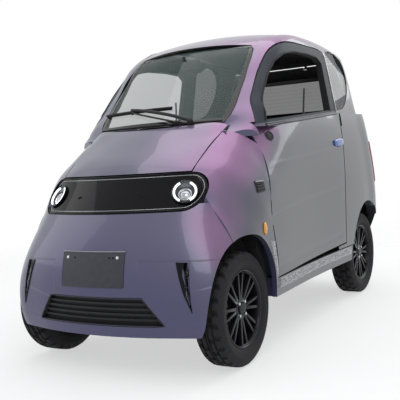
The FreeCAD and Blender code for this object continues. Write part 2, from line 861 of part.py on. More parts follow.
def rear_quarter():
    """Left rear corner of the body, from the door to the tailgate, below the roof rail."""
    low = block(corner_rays(), 0.0, -frame_wall, body_field, True)
    high = block(fan_rays(quarter_back_angle, quarter_front_angle, waist_height, rail_low, tail_fan_y, 11, 5, 1),
                 0.0, -frame_wall + waist_lift / 2, house_field)
    body = low.fuse(high)
    body = body.cut(arch_cut(rear_axle_y, wheelhouse_x, half_width + overrun))
    body = body.cut(prism_x(door_line(door_gap), 0.0, car_width))
    body = body.cut(prism_x(frame_line(door_gap), 0.0, car_width))
    body = body.cut(quarter_seat()).cut(prism_x(quarter_line(-glass_lap), 0.0, car_width))
    body = body.cut(box(0.0, car_width, nose_y, rail_end_y, quarter_shelf, car_height))
    body = body.cut(box(0.0, car_width, rear_bumper_front_y, tail_y + overrun, 0.0, rear_bumper_top + seam))
    body = body.cut(box(0.0, car_width, nose_y, sill_back_y + seam, 0.0, sill_top))
    return body.cut(prism_y(hatch_line(door_gap), quarter_end_y - overrun, tail_y + overrun))


def roof_line(grow):
    """Plan outline of the roof panel, in (x, y)."""
    front = [(x, header_y - header_depth - grow + x * x / (2 * screen_bow_radius))
             for x in spread(-roof_half_width - grow, roof_half_width + grow, 7)]
    back = [(roof_half_width + grow, roof_end_y + grow), (-roof_half_width - grow, roof_end_y + grow)]
    return [front, back]


def roof_rays():
    """Rays to the roof skin."""
    return hoop_rays(header_y - header_depth * 2, roof_end_y + overrun / 3, roof_angle, 180.0 - roof_angle,
                     cabin_centre_z, 9, 9)


def roof_panel():
    """Roof skin from the header to the tailgate, turned down at the back, with the tailgate's hinge lugs."""
    body = block(roof_rays(), 0.0, -roof_wall, house_field)
    body = body.common(prism_z(roof_line(0.0), waist_height, car_height + overrun))
    body = body.cut(prism_y(screen_line(panel_gap), nose_y, screen_end_y))
    body = body.cut(prism_y(hatch_line(panel_gap), roof_end_y - roof_wall * 2, tail_y + overrun))
    header = block(fan_rays(-tail_header_sweep, tail_header_sweep, hatch_bottom + hatch_rise + door_gap,
                            tail_header_top, tail_fan_y, 7, 4, 1), 0.0, -tail_header_wall, house_field)
    body = body.fuse(header)
    for sign in (-1, 1):
        body = body.fuse(hatch_lug(sign))
    return body


def hatch_lug(sign):
    """Lug under the tail header with a pin through it, along X."""
    x0 = sign * hatch_hinge_x - lug_width / 2
    eye = tube_x(lug_radius, x0, x0 + lug_width, hatch_hinge_y, hatch_hinge_z)
    post = box(x0, x0 + lug_width, hatch_hinge_y - lug_radius, hatch_hinge_y, hatch_hinge_z,
               hatch_bottom + hatch_rise + door_gap + lug_radius)
    pin = tube_x(hatch_pin_radius, x0 - lug_width, x0 + lug_width * 2, hatch_hinge_y, hatch_hinge_z)
    return eye.fuse(post).fuse(pin)


def screen_rays():
    """Rays to the windscreen."""
    return hoop_rays(cowl_y - overrun, header_y + overrun * 2, screen_angle, 180.0 - screen_angle, cabin_centre_z, 7, 9)


def windscreen():
    """Bowed glass from the cowl to the header."""
    body = block(screen_rays(), -glass_inset, -glass_inset - glass_wall, house_field)
    return body.common(prism_y(screen_line(0.0), nose_y, screen_end_y))


def quarter_rays():
    """Rays to the left quarter glass."""
    return side_rays(quarter_y - overrun, quarter_y + quarter_run + overrun / 2, waist_height, house_top, 5, 4)


def quarter_glass():
    """Fixed side window behind the left door."""
    body = block(quarter_rays(), -glass_inset, -glass_inset - glass_wall, house_field)
    return body.common(prism_x(quarter_line(0.0), 0.0, car_width))


def house_top(y):
    """Height to which the side glass and frames are drawn."""
    return waist_height + cabin_rise


def door_top(y):
    """Height to which the door skin is drawn: just under the shoulder."""
    return waist(y) - door_lip


def leaf_rays():
    """Rays to the door skin below the waist."""
    return side_rays(door_front_y - overrun / 2, door_front_y + door_run + overrun / 2, sill_top - overrun / 2,
                     door_top, 9, 7)


def door():
    """Left door: a thick lower leaf with a window frame above it, and hinge barrels at its front edge."""
    leaf = block(leaf_rays(), 0.0, -door_wall, body_field, True)
    leaf = leaf.common(prism_x(door_line(0.0), 0.0, car_width))
    frame = block(hoop_rays(door_front_y + overrun / 2, door_front_y + door_run + overrun, frame_low_angle,
                            frame_high_angle, cabin_centre_z, 11, 9), -frame_inset, -frame_inset - frame_depth,
                  house_field)
    frame = frame.common(prism_x(frame_line(0.0), 0.0, car_width))
    frame = frame.cut(prism_x(opening_line(), 0.0, car_width))
    body = leaf.fuse(frame)
    cover = block(side_rays(hinge_y - overrun, hinge_y + overrun, hinge_heights[0] - overrun, hinge_cover, 4, 4),
                  -seam, -door_wall, body_field)
    for z in hinge_heights:
        barrel = Part.makeCylinder(hinge_radius, hinge_length, V(hinge_x, hinge_y, z))
        body = body.fuse(barrel.common(cover))
    return body.fuse(mirror_pad())


def hinge_cover(y):
    """Height up to which the hinge barrels are trimmed to the skin."""
    return hinge_heights[1] + hinge_length + overrun


def mirror_pad():
    """Round pad on the left door that a mirror would stand on."""
    slab = block(side_rays(pad_y - pad_radius * 2, pad_y + pad_radius * 2, pad_z - pad_radius * 2, pad_top, 3, 3),
                 pad_proud, -pad_proud, body_field)
    return slab.common(tube_x(pad_radius, 0.0, half_width + overrun, pad_y, pad_z))


def pad_top(y):
    """Height up to which the pad's skin is drawn."""
    return pad_z + pad_radius * 2


def tailgate():
    """Rear lid with its window cut out, notched and bored for its hinge lugs."""
    rays = fan_rays(-hatch_sweep, hatch_sweep, hatch_bottom - overrun / 2, hatch_bottom + hatch_rise + overrun / 2,
                    tail_fan_y, 9, 9, 1)
    body = block(rays, 0.0, -tailgate_wall, skin_field)
    body = body.common(prism_y(hatch_line(0.0), tail_fan_y, tail_y + overrun))
    seat = block(hatch_glass_rays(), overrun / 2, -glass_inset - glass_wall - seam, house_field)
    seat = seat.common(prism_y(hatch_glass_line(panel_gap), tail_fan_y, tail_y + overrun))
    body = body.cut(seat).cut(prism_y(hatch_glass_line(-glass_lap), tail_fan_y, tail_y + overrun))
    for sign in (-1, 1):
        x0 = sign * hatch_hinge_x - lug_width / 2
        notch = box(x0 - panel_gap, x0 + lug_width + panel_gap, tail_fan_y, tail_y + overrun,
                    hatch_hinge_z - lug_radius - panel_gap, car_height)
        bore = tube_x(hatch_pin_radius + pin_gap, x0 - lug_width - panel_gap, x0 + lug_width * 2 + panel_gap,
                      hatch_hinge_y, hatch_hinge_z)
        body = body.cut(notch).cut(bore)
    return body


def hatch_glass_rays():
    """Rays to the tailgate's window."""
    return fan_rays(-hatch_sweep, hatch_sweep, waist_height + waist_lift, hatch_bottom + hatch_rise, tail_fan_y, 7, 4, 1)


def tailgate_glass():
    """Window of the tailgate."""
    body = block(hatch_glass_rays(), -glass_inset, -glass_inset - glass_wall, house_field)
    return body.common(prism_y(hatch_glass_line(0.0), tail_fan_y, tail_y + overrun))


def tail_rays():
    """Rays to the tail below the lid."""
    return fan_rays(-tail_sweep, tail_sweep, bumper_bottom, rear_bumper_top, tail_fan_y, 13, 4, 1)


def rear_bumper():
    """Painted tail below the lid."""
    body = block(tail_rays(), 0.0, -bumper_wall, body_field, True)
    body = body.cut(box(-car_width, car_width, nose_y, rear_bumper_front_y + seam, 0.0, car_height))
    arch = arch_cut(rear_axle_y, wheelhouse_x, half_width + overrun)
    return body.cut(arch).cut(mirrored(arch))


def tyre():
    """Tyre with a stepped outer shoulder, about X at the origin."""
    half = tyre_width / 2
    body = tube_x(tyre_radius, -half, half - tyre_shoulder, 0.0, 0.0)
    body = body.fuse(tube_x(tyre_radius - tyre_shoulder, 0.0, half, 0.0, 0.0))
    return body.cut(tube_x(rim_radius - rim_wall, -half, half, 0.0, 0.0))


def rim():
    """Alloy wheel about X at the origin, its face towards +X."""
    bead = rim_width / 2
    well = rim_radius - rim_wall - tyre_seat
    barrel = tube_x(well, -bead, bead, 0.0, 0.0).cut(tube_x(well - rim_wall, -bead, bead, 0.0, 0.0))
    body = barrel.fuse(tube_x(hub_radius, spoke_x - hub_depth, spoke_x + rim_wall, 0.0, 0.0))
    reach = well - rim_wall / 2
    foot = hub_radius - rim_wall
    for k in range(spoke_pairs):
        points = [(-spoke_width / 2, foot), (-spoke_spread, reach), (-spoke_spread + spoke_width, reach),
                  (0.0, foot + spoke_width * 2), (spoke_spread - spoke_width, reach), (spoke_spread, reach),
                  (spoke_width / 2, foot)]
        runs = [[points[i], points[(i + 1) % len(points)]] for i in range(len(points))]
        spoke = prism_x(runs, spoke_x - spoke_depth, spoke_x)
        spoke.rotate(V(0, 0, 0), LEFTWARD, math.degrees(math.tau / spoke_pairs) * k)
        body = body.fuse(spoke)
    return body.cut(tube_x(hub_bore, -rim_width, rim_width, 0.0, 0.0))


def placed(shape, x, y, z):
    """A copy of a shape, moved."""
    copy = shape.copy()
    copy.translate(V(x, y, z))
    return copy


def knuckle():
    """Left steering knuckle: an upright with its stub axle, disc, steering arm and lower pin."""
    upright = box(kingpin_x - knuckle_half, kingpin_x + knuckle_half / 2, front_axle_y - knuckle_half,
                  front_axle_y + knuckle_half, knuckle_low, tyre_radius + knuckle_reach)
    stub = tube_x(hub_bore - pin_gap, kingpin_x, wheel_x + spoke_x, front_axle_y, tyre_radius)
    disc = tube_x(disc_radius, kingpin_x + knuckle_half, kingpin_x + knuckle_half + disc_wall, front_axle_y, tyre_radius)
    arm = box(kingpin_x - knuckle_half, kingpin_x, front_axle_y, front_axle_y + arm_reach,
              tyre_radius - knuckle_half / 2, tyre_radius)
    pin = Part.makeCylinder(king_pin_radius, knuckle_low - beam_low, V(kingpin_x, front_axle_y, beam_low))
    return upright.fuse(stub).fuse(disc).fuse(arm).fuse(pin)


def front_subframe():
    """Cross member with lower arms, legs to the floor and strut towers between the front wheels."""
    body = box(-beam_half, beam_half, front_axle_y - beam_depth / 2, front_axle_y + beam_depth / 2,
               beam_low, beam_low + beam_height)
    for sign in (-1, 1):
        x0, x1 = sorted((sign * (beam_half - panel_gap), sign * kingpin_x))
        arm = box(x0, x1, front_axle_y - arm_width / 2, front_axle_y + arm_width / 2, beam_low, beam_low + arm_height)
        arm = arm.fuse(Part.makeCylinder(arm_eye_radius, arm_height, V(sign * kingpin_x, front_axle_y, beam_low)))
        bore = Part.makeCylinder(king_pin_radius + pin_gap, arm_height, V(sign * kingpin_x, front_axle_y, beam_low))
        strut = Part.makeCylinder(strut_radius, arch_height - beam_low - seam * 4,
                                  V(sign * strut_x, front_axle_y, beam_low))
        leg = box(sign * leg_x - arm_height, sign * leg_x + arm_height, front_axle_y - beam_depth / 2,
                  front_axle_y + beam_depth / 2, beam_low + beam_height, floor_height + floor_lift)
        body = body.fuse(arm.cut(bore)).fuse(strut).fuse(leg)
    return body


def rear_axle():
    """Beam axle with the motor in its middle, trailing arms to the floor and dampers to the boot floor."""
    beam = tube_x(axle_radius, -axle_half, axle_half, rear_axle_y, tyre_radius)
    stub = tube_x(hub_bore - pin_gap, -wheel_x - spoke_x, wheel_x + spoke_x, rear_axle_y, tyre_radius)
    motor = tube_x(motor_radius, -motor_half, motor_half, rear_axle_y, tyre_radius)
    body = beam.fuse(stub).fuse(motor)
    for sign in (-1, 1):
        arm = box(sign * trail_x - arm_height, sign * trail_x + arm_height, floor_end_y, rear_axle_y,
                  tyre_radius - arm_height / 2, tyre_radius + arm_height / 2)
        damper = Part.makeCylinder(strut_radius, boot_floor - tyre_radius, V(sign * trail_x, rear_axle_y, tyre_radius))
        body = body.fuse(arm).fuse(damper)
    return body


def floor_pan():
    """Floor with its wheel houses, bulkhead, hinge posts, scuttle, front panel, boot floor and battery."""
    top = floor_height + floor_wall
    body = box(-floor_half, floor_half, firewall_y - floor_wall, floor_end_y, floor_height, top)
    body = body.fuse(box(-floor_half, floor_half, firewall_y - floor_wall, firewall_y, floor_height, firewall_top))
    nose_low = floor_height + floor_lift
    body = body.fuse(box(-wheelhouse_x, wheelhouse_x, front_panel_y, firewall_y - floor_wall,
                         nose_low, nose_low + floor_wall))
    body = body.fuse(box(-front_panel_half, front_panel_half, front_panel_y, front_panel_y + floor_wall,
                         nose_low, front_panel_top))
    body = body.fuse(box(-wheelhouse_x, wheelhouse_x, floor_end_y - floor_wall, tail_inner_y,
                         boot_floor, boot_floor + floor_wall))
    body = body.fuse(box(-wheelhouse_x, wheelhouse_x, floor_end_y - floor_wall, floor_end_y, floor_height,
                         boot_floor + floor_wall))
    for axle_y in (front_axle_y, rear_axle_y):
        house = wheel_house(axle_y)
        body = body.fuse(house).fuse(mirrored(house))
    room = prism_x(door_line(door_gap), door_room_x, car_width)
    body = body.cut(room).cut(mirrored(room))
    post = hinge_post()
    body = body.fuse(post).fuse(mirrored(post))
    body = body.fuse(cowl()).fuse(battery())
    for rays in (bumper_rays(), tail_rays()):
        body = body.cut(block(rays, overrun, -bumper_wall - seam, body_field, True))
    return body.cut(lamp_room(1)).cut(lamp_room(-1))


def lamp_room(sign):
    """Room behind a headlamp."""
    return lamp_socket(sign, panel_gap)


def wheel_house(axle_y):
    """Left wheel house over one axle: an arched liner, closed on its inner side but for the axle."""
    clear = arch_cut(axle_y, wheelhouse_x, house_outer_x)
    liner = arch_cut(axle_y, wheelhouse_x - house_wall, house_outer_x, house_wall).cut(clear)
    low = box(0.0, half_width, axle_y - arch_reach * 2, axle_y + arch_reach * 2, 0.0, floor_height)
    return liner.cut(low).cut(tube_x(axle_radius + panel_gap, 0.0, house_outer_x, axle_y, tyre_radius))


def sill():
    """Left sill between the arches, with a flange that rests on the floor."""
    rays = side_rays(sill_front_y, sill_back_y, sill_bottom, sill_line, 7, 5)
    skin_part = block(rays, 0.0, -sill_wall, body_field)
    flange = box(floor_half - sill_wall / 2, half_width - sill_wall, firewall_y + seam, floor_end_y,
                 floor_height + floor_wall, floor_height + floor_wall + sill_flange)
    return skin_part.fuse(flange)


def sill_line(y):
    """Top of the sill."""
    return sill_top - panel_gap


def seat(x):
    """Front seat: cushion and back."""
    cushion = box(x - seat_width / 2, x + seat_width / 2, seat_y, seat_y + seat_depth, seat_low, seat_low + seat_thick)
    back = box(x - seat_width / 2, x + seat_width / 2, seat_y + seat_depth - seat_thick, seat_y + seat_depth,
               seat_low + seat_thick, seat_low + seat_back)
    base = box(x - seat_width / 3, x + seat_width / 3, seat_y + seat_thick, seat_y + seat_depth - seat_thick,
               floor_height + floor_wall, seat_low)
    return cushion.fuse(back).fuse(base)


def rear_bench():
    """Bench over the boot floor."""
    half = wheelhouse_x - house_wall - seam
    cushion = box(-half, half, bench_y, bench_y + seat_depth, boot_floor + floor_wall, boot_floor + floor_wall + seat_thick)
    back = box(-half, half, bench_y + seat_depth, bench_y + seat_depth + seat_thick, boot_floor + floor_wall,
               boot_floor + bench_back)
    return cushion.fuse(back)


def dashboard():
    """Dashboard across the cabin, with a socket for the steering column."""
    y0 = firewall_y + seam
    points = [(y0, dash_low), (y0 + dash_depth, dash_low + dash_tuck), (y0 + dash_depth, dash_high - dash_tuck),
              (y0 + dash_depth - dash_tuck, dash_high), (y0, dash_high)]
    runs = [[points[k], points[(k + 1) % len(points)]] for k in range(len(points))]
    socket = Part.makeCylinder(wheel_grip + pin_gap, column_length + panel_gap, V(0, 0, -column_length - panel_gap))
    return prism_x(runs, -dash_half, dash_half).cut(on_column(socket))


def on_column(shape):
    """A shape drawn about the steering column, set in its place."""
    shape.rotate(V(0, 0, 0), LEFTWARD, -wheel_tilt)
    return placed(shape, driver_x, wheel_centre_y, wheel_centre_z)


def cowl():
    """Scuttle under the base of the windscreen, on top of the bulkhead."""
    shelf = box(-cowl_half, cowl_half, cowl_front_y, firewall_y, cowl_top - floor_wall, cowl_top)
    wall = box(-cowl_half, cowl_half, firewall_y - floor_wall, firewall_y, firewall_top, cowl_top)
    return shelf.fuse(wall)


def battery():
    """Battery pack under the floor."""
    return box(-battery_half, battery_half, battery_front_y, battery_back_y, battery_low, floor_height)


def steering_wheel():
    """Rim, boss and spokes, tilted towards the driver."""
    grip = [(wheel_radius - wheel_grip, 0.0), (wheel_radius, wheel_grip), (wheel_radius + wheel_grip, 0.0),
            (wheel_radius, -wheel_grip)]
    wire = Part.makePolygon([V(r, 0, z) for r, z in grip] + [V(grip[0][0], 0, grip[0][1])])
    body = Part.Face(wire).revolve(V(0, 0, 0), UP, 360)
    body = body.fuse(Part.makeCylinder(wheel_boss, wheel_grip * 2, V(0, 0, -wheel_grip)))
    body = body.fuse(box(-wheel_radius, wheel_radius, -wheel_grip, wheel_grip, -wheel_grip / 2, wheel_grip / 2))
    return on_column(body.fuse(Part.makeCylinder(wheel_grip, column_length, V(0, 0, -column_length))))


def plate_holder():
    """Blank plate holder on the nose."""
    body = block(bumper_rays(), plate_wall, seam, body_field)
    return body.common(prism_y([[(-plate_half, plate_low), (plate_half, plate_low)],
                                [(plate_half, plate_high), (-plate_half, plate_high)]], nose_y - overrun, nose_fan_y))


def tail_lamp():
    """Upright lamp on the left rear corner."""
    lamp = block(corner_rays(), tail_lamp_proud, seam, body_field)
    points = [(0.0, tail_fan_y)]
    for a in (lamp_sweep_low, lamp_sweep_high):
        way = V(math.sin(math.radians(a)), math.cos(math.radians(a)), 0) * car_length
        points.append((way.x, tail_fan_y + way.y))
    runs = [[points[k], points[(k + 1) % len(points)]] for k in range(len(points))]
    return lamp.common(prism_z(runs, tail_lamp_low, tail_lamp_high))


def handle():
    """Pull handle on the left door."""
    bar = block(leaf_rays(), handle_proud, seam, body_field)
    bar = bar.common(box(0.0, car_width, handle_y, handle_y + handle_length, handle_z, handle_z + handle_height))
    return bar.common(prism_x(door_line(0.0), 0.0, car_width))


def keep(name, shape):
    """Write one piece to its own file."""
    shape.exportStep("parts/" + name + ".step")
    print(name, shape.isValid(), len(shape.Solids), round(shape.Volume / 1e6, 2),
          [round(v) for v in (shape.BoundBox.XMin, shape.BoundBox.XMax, shape.BoundBox.YMin, shape.BoundBox.YMax,
                              shape.BoundBox.ZMin, shape.BoundBox.ZMax)])


def both(name, shape):
    """Write a left piece and its right twin."""
    keep(name + "_left", shape)
    keep(name + "_right", mirrored(shape))


def pair(name, shape):
    """Write a left piece and its right twin as one node."""
    keep(name, Part.makeCompound([shape, mirrored(shape)]))


def main():
    os.makedirs("parts", exist_ok=True)
    keep("front_bumper", front_bumper())
    keep("lower_grille", lower_grille())
    keep("light_bar", light_bar())
    both("headlamp", headlamp())
    keep("bonnet", bonnet())
    both("fender", fender())
    both("side_frame", side_frame())
    both("rear_quarter", rear_quarter())
    keep("roof_panel", roof_panel())
    keep("windscreen", windscreen())
    both("quarter_glass", quarter_glass())
    both("door", door())
    both("door_handle", handle())
    keep("tailgate", tailgate())
    keep("tailgate_glass", tailgate_glass())
    keep("rear_bumper", rear_bumper())
    pair("tail_lamps", tail_lamp())
    both("sill", sill())
    keep("number_plate", plate_holder())
    keep("floor_pan", floor_pan())
    keep("dashboard", dashboard())
    keep("seat_left", seat(driver_x))
    keep("seat_right", seat(-driver_x))
    keep("rear_bench", rear_bench())
    keep("steering_wheel", steering_wheel())
    keep("front_subframe", front_subframe())
    keep("rear_axle", rear_axle())
    both("knuckle", knuckle())
    left_tyre = tyre()
    left_rim = rim()
    for name, y in (("front", front_axle_y), ("rear", rear_axle_y)):
        both("tyre_" + name, placed(left_tyre, wheel_x, y, tyre_radius))
        both("rim_" + name, placed(left_rim, wheel_x, y, tyre_radius))


if __name__ == "__main__":
    main()
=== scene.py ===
import math
import random

import bmesh
import bpy
from mathutils import Matrix, Vector
from mathutils.bvhtree import BVHTree


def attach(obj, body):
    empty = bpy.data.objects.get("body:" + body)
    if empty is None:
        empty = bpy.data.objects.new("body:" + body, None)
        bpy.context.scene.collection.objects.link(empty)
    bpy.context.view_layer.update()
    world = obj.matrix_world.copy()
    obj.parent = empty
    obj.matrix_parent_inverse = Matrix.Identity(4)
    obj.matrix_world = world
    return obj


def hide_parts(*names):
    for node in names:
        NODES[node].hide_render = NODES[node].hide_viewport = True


bl_info = {
    "name": "Microcar",
    "version": (1, 0, 0),
    "blender": (4, 5, 0),
    "location": "3D View > Sidebar > Microcar",
    "description": "Dresses the packed microcar with its finishes and its fine pieces",
    "category": "Object",
}

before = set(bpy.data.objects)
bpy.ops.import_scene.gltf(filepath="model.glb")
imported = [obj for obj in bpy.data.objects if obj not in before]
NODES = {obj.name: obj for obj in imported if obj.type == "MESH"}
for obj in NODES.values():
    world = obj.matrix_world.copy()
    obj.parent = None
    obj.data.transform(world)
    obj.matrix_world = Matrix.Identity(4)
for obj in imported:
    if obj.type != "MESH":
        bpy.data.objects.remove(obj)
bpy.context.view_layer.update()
ORIGIN, LEFT, FRONT, UP = Vector((0, 0, 0)), Vector((1, 0, 0)), Vector((0, -1, 0)), Vector((0, 0, 1))
SIDES = ("left", "right")
AXLES = {"front": -0.852, "rear": 0.884}
WHEEL_X, AXLE_Z = 0.510, 0.265
DOOR_Y, DOOR_RUN = -0.635, 1.240
WAIST, WAIST_SLOPE, WINDOW_RISE = 1.100, 0.072, 0.478
SEAT_X = 0.24
# Angles, in degrees, below which an edge of a piece is shaded smooth
CRISP, CREASED, ROUND, DOMED = 30.0, 34.0, 60.0, 80.0


# Shader maths

class Wire:
    """An output of a shader node that takes part in sums and products."""

    def __init__(self, kit, socket):
        self.kit = kit
        self.socket = socket

    def maths(self, operation, *values):
        return self.kit.node("ShaderNodeMath", {"operation": operation}, dict(enumerate(values)))

    def __add__(self, other):
        return self.maths("ADD", self, other)

    __radd__ = __add__

    def __sub__(self, other):
        return self.maths("SUBTRACT", self, other)

    def __rsub__(self, other):
        return self.maths("SUBTRACT", other, self)

    def __mul__(self, other):
        return self.maths("MULTIPLY", self, other)

    __rmul__ = __mul__

    def __pow__(self, other):
        return self.maths("POWER", self, other)

    def __abs__(self):
        return self.maths("ABSOLUTE", self)

    def either(self, other):
        return self.maths("MAXIMUM", self, other)

    def above(self, edge, soft=0.001):
        """1 where this is above an edge, with a soft step."""
        return self.kit.node("ShaderNodeMapRange", {"clamp": True},
                             {"Value": self, "From Min": edge - soft, "From Max": edge + soft})

    def below(self, edge, soft=0.001):
        return 1 - self.above(edge, soft)


class Finish:
    """A material with one principled shader, built from expressions."""

    def __init__(self, name, colour, roughness, metallic=0.0, **fixed):
        self.material = bpy.data.materials.new(name)
        self.material.use_nodes = True
        self.tree = self.material.node_tree
        self.tree.nodes.clear()
        self.shader = self.tree.nodes.new("ShaderNodeBsdfPrincipled")
        out = self.tree.nodes.new("ShaderNodeOutputMaterial")
        self.tree.links.new(self.shader.outputs[0], out.inputs["Surface"])
        self.set("Base Color", colour)
        self.set("Roughness", roughness)
        self.set("Metallic", metallic)
        for key, value in fixed.items():
            self.set(key.replace("_", " ").title().replace("Ior", "IOR"), value)
        shown = (0.5, 0.5, 0.5) if isinstance(colour, Wire) else tuple(colour)[:3]
        self.material.diffuse_color = (*shown, 1.0)

    def node(self, kind, settings=None, values=None, out=0):
        """Any node: its type, its settings, the values or wires of its inputs, and the output wanted."""
        made = self.tree.nodes.new(kind)
        for key, value in (settings or {}).items():
            setattr(made, key, value)
        for key, value in (values or {}).items():
            self.join(value, made.inputs[key])
        return Wire(self, made.outputs[out])

    def join(self, value, socket):
        if isinstance(value, Wire):
            self.tree.links.new(value.socket, socket)
        elif socket.type == "RGBA":
            socket.default_value = (*value[:3], 1.0)
        else:
            socket.default_value = value

    def set(self, name, value):
        self.join(value, self.shader.inputs[name])

    def place(self):
        """X, Y and Z of the point in the object's own frame."""
        return self.parts(self.node("ShaderNodeTexCoord", out="Object"))

    def facing(self):
        """X, Y and Z of the surface's own direction."""
        return self.parts(self.node("ShaderNodeTexCoord", out="Normal"))

    def parts(self, vector):
        split = self.node("ShaderNodeSeparateXYZ", values={0: vector})
        return [Wire(self, o) for o in split.socket.node.outputs]

    def noise(self, scale, detail=2.0, rough=0.5, stretch=(1, 1, 1)):
        spot = self.node("ShaderNodeTexCoord", out="Object")
        spot = self.node("ShaderNodeVectorMath", {"operation": "MULTIPLY"}, {0: spot, 1: stretch})
        return self.node("ShaderNodeTexNoise", values={"Vector": spot, "Scale": scale, "Detail": detail,
                                                       "Roughness": rough})

    def cells(self, scale, feature="F1"):
        return self.node("ShaderNodeTexVoronoi", {"feature": feature},
                         {"Vector": self.node("ShaderNodeTexCoord", out="Object"), "Scale": scale})

    def mix(self, share, first, second):
        return self.node("ShaderNodeMix", {"data_type": "RGBA"}, {0: share, 6: first, 7: second}, 2)

    def bump(self, height, distance=0.001, strength=1.0, under=None):
        values = {"Height": height, "Distance": distance, "Strength": strength}
        if under is not None:
            values["Normal"] = under
        return self.node("ShaderNodeBump", values=values)

    def relief(self, height, distance=0.001, strength=1.0):
        self.set("Normal", self.bump(height, distance, strength))
        return self


def ridge(distance, width):
    """1 on a line and 0 from a width away."""
    return distance.kit.node("ShaderNodeMapRange", {"interpolation_type": "SMOOTHSTEP", "clamp": True},
                             {"Value": abs(distance), "From Min": width, "From Max": 0.0})


# The finishes

FLAKES = (0.62, 0.58, 0.68)
DARK_LINING, PALE_LINING, ROOF_LINING_Z = (0.022, 0.022, 0.024), (0.10, 0.10, 0.10), 1.5
# Heights of a door's pressed lines at the middle of the car, and how much each rises along it
SWAGE, WAIST_CREASE, SILL_HOLLOW = (0.716, 0.055), (0.936, 0.06), (0.425, 0.045)
CHIN_Z, BROW_Z, SCUTTLE_FADE_Z = 0.243, 0.948, 1.05


def brighter(colour, gain, add=0.0):
    return tuple(min(1.0, c * gain + add) for c in colour)


def paint_and_sheen_colour(kit, look):
    """Colour-shift paint with its shift and light painted in by facing direction: grey on the sides, a painted
    violet sheen ahead, a lighter blue-grey above as painted light from overhead, and a painted rose highlight
    where a face looks up, ahead and to the left at once."""
    nx, ny, nz = kit.facing()
    # violet ahead and lighter blue-grey above: colour-shift sheen and light from overhead, painted by facing
    ahead = (0 - ny).either(0.0)
    above = nz.either(0.0)
    # painted rose highlight, on left-facing faces only
    turn = (nx * 0.55 - ny * 0.35 + nz * 0.75).above(0.915, 0.085)
    colour = kit.mix(ahead ** 1.4, look.paint_side, look.front_sheen_paint)
    colour = kit.mix(above ** 1.5, colour, look.lit_top_paint)
    colour = kit.mix(turn * 0.8, colour, look.rose_highlight)
    return kit.mix(kit.noise(1400.0, 1.0) * 0.09, colour, FLAKES)


def inward(kit):
    """1 on a panel's inner side, which has trim on it."""
    x, y, z = kit.place()
    nx, ny, nz = kit.facing()
    return (x * nx + y * ny * 0.45 + (z - 0.85) * nz * 0.8).below(-0.06, 0.02)


def door_relief(height, y, z):
    """Adds a door's pressed lines: a swage, a crease under the waist and a hollow above the sill."""
    swage, crease, hollow = (z - y * slope - level for level, slope in (SWAGE, WAIST_CREASE, SILL_HOLLOW))
    swage = swage + (y - 0.1) * (y - 0.1) * 0.02
    height = height + ridge(swage, 0.016) + swage.above(0.0, 0.006) * 0.55
    height = height + ridge(crease, 0.022) * 0.5
    return height - ridge(hollow, 0.03) * 0.9 * y.below(0.40, 0.03)


def nose_relief(height, x, y, z):
    """Adds the nose's lines: flats beside the mouth, a chin under it and a brow over the light bar."""
    wide = abs(x)
    flats = (wide.above(0.236, 0.004) * (z + wide * 0.03).below(0.541, 0.004)
             * (z - wide * 0.18).above(0.315, 0.004))
    chin = (z - wide * wide * 0.10).below(CHIN_Z, 0.004)
    brow = (z + wide * wide * 0.22).above(BROW_Z, 0.006) * z.below(SCUTTLE_FADE_Z, 0.05)
    return height + y.below(-0.98, 0.04) * (chin * 0.9 - flats * 1.3) + brow * y.below(-0.86, 0.03) * 0.5


def make_paint(look, name, on_door=False):
    """Body paint, with dark trim on the inner side and, on a door, a satin window frame."""
    kit = Finish(name, (0.2, 0.2, 0.2), 0.3, look.paint_metal, coat_roughness=0.04, specular_ior_level=0.15)
    # colour-shift sheen, light from above and a rose highlight, all painted by facing direction
    colour = paint_and_sheen_colour(kit, look)
    inner = inward(kit)
    x, y, z = kit.place()
    lining = kit.mix(z.above(ROOF_LINING_Z, 0.03), DARK_LINING, PALE_LINING)
    dark = inner
    if on_door:
        window = (z - y * WAIST_SLOPE).above(WAIST - WAIST_SLOPE * DOOR_Y + 0.004, 0.0015)
        colour = kit.mix(window, colour, look.frame_grey)
        dark = inner.either(window)
    kit.set("Base Color", kit.mix(inner, colour, lining))
    kit.set("Coat Weight", (1.0 - dark) * 0.5)
    kit.set("Metallic", (1.0 - dark) * look.paint_metal)
    peel = kit.noise(160.0, 2.0)
    kit.set("Roughness", 0.30 + dark * 0.22 + peel * 0.04)
    height = door_relief(peel * 0.02, y, z) if on_door else nose_relief(peel * 0.02, x, y, z)
    kit.set("Normal", kit.bump(height, 0.004, 0.6))
    return kit.material


def make_plastic(name, colour, rough=0.55, grain=700.0, depth=0.0004):
    """Moulded plastic with a fine leather-like grain and slight wear."""
    kit = Finish(name, colour, rough, specular_ior_level=0.25)
    wear = kit.noise(35.0, 5.0)
    kit.set("Base Color", kit.mix(wear.above(0.55, 0.25) * 0.35, colour, brighter(colour, 1.7, 0.01)))
    kit.set("Roughness", rough + (wear - 0.5) * 0.18)
    return kit.relief(kit.cells(grain) + kit.noise(grain * 0.6, 3.0) * 0.6, depth).material


def make_gloss(name, colour, rough=0.06, wave=14.0, **more):
    """Smooth, shining plastic or lacquer with faint waves."""
    kit = Finish(name, colour, rough, **more)
    kit.set("Roughness", rough + kit.noise(60.0, 4.0).above(0.6, 0.2) * 0.05)
    return kit.relief(kit.noise(wave, 2.0), 0.0006, 0.3).material


def make_metal(name, colour, rough, scale=300.0, stretch=(1, 1, 1)):
    """Bare or plated metal with fine marks."""
    kit = Finish(name, colour, rough, 1.0)
    marks = kit.noise(scale, 4.0, 0.6, stretch)
    kit.set("Roughness", rough + (marks - 0.5) * 0.25)
    return kit.relief(marks, 0.0002).material


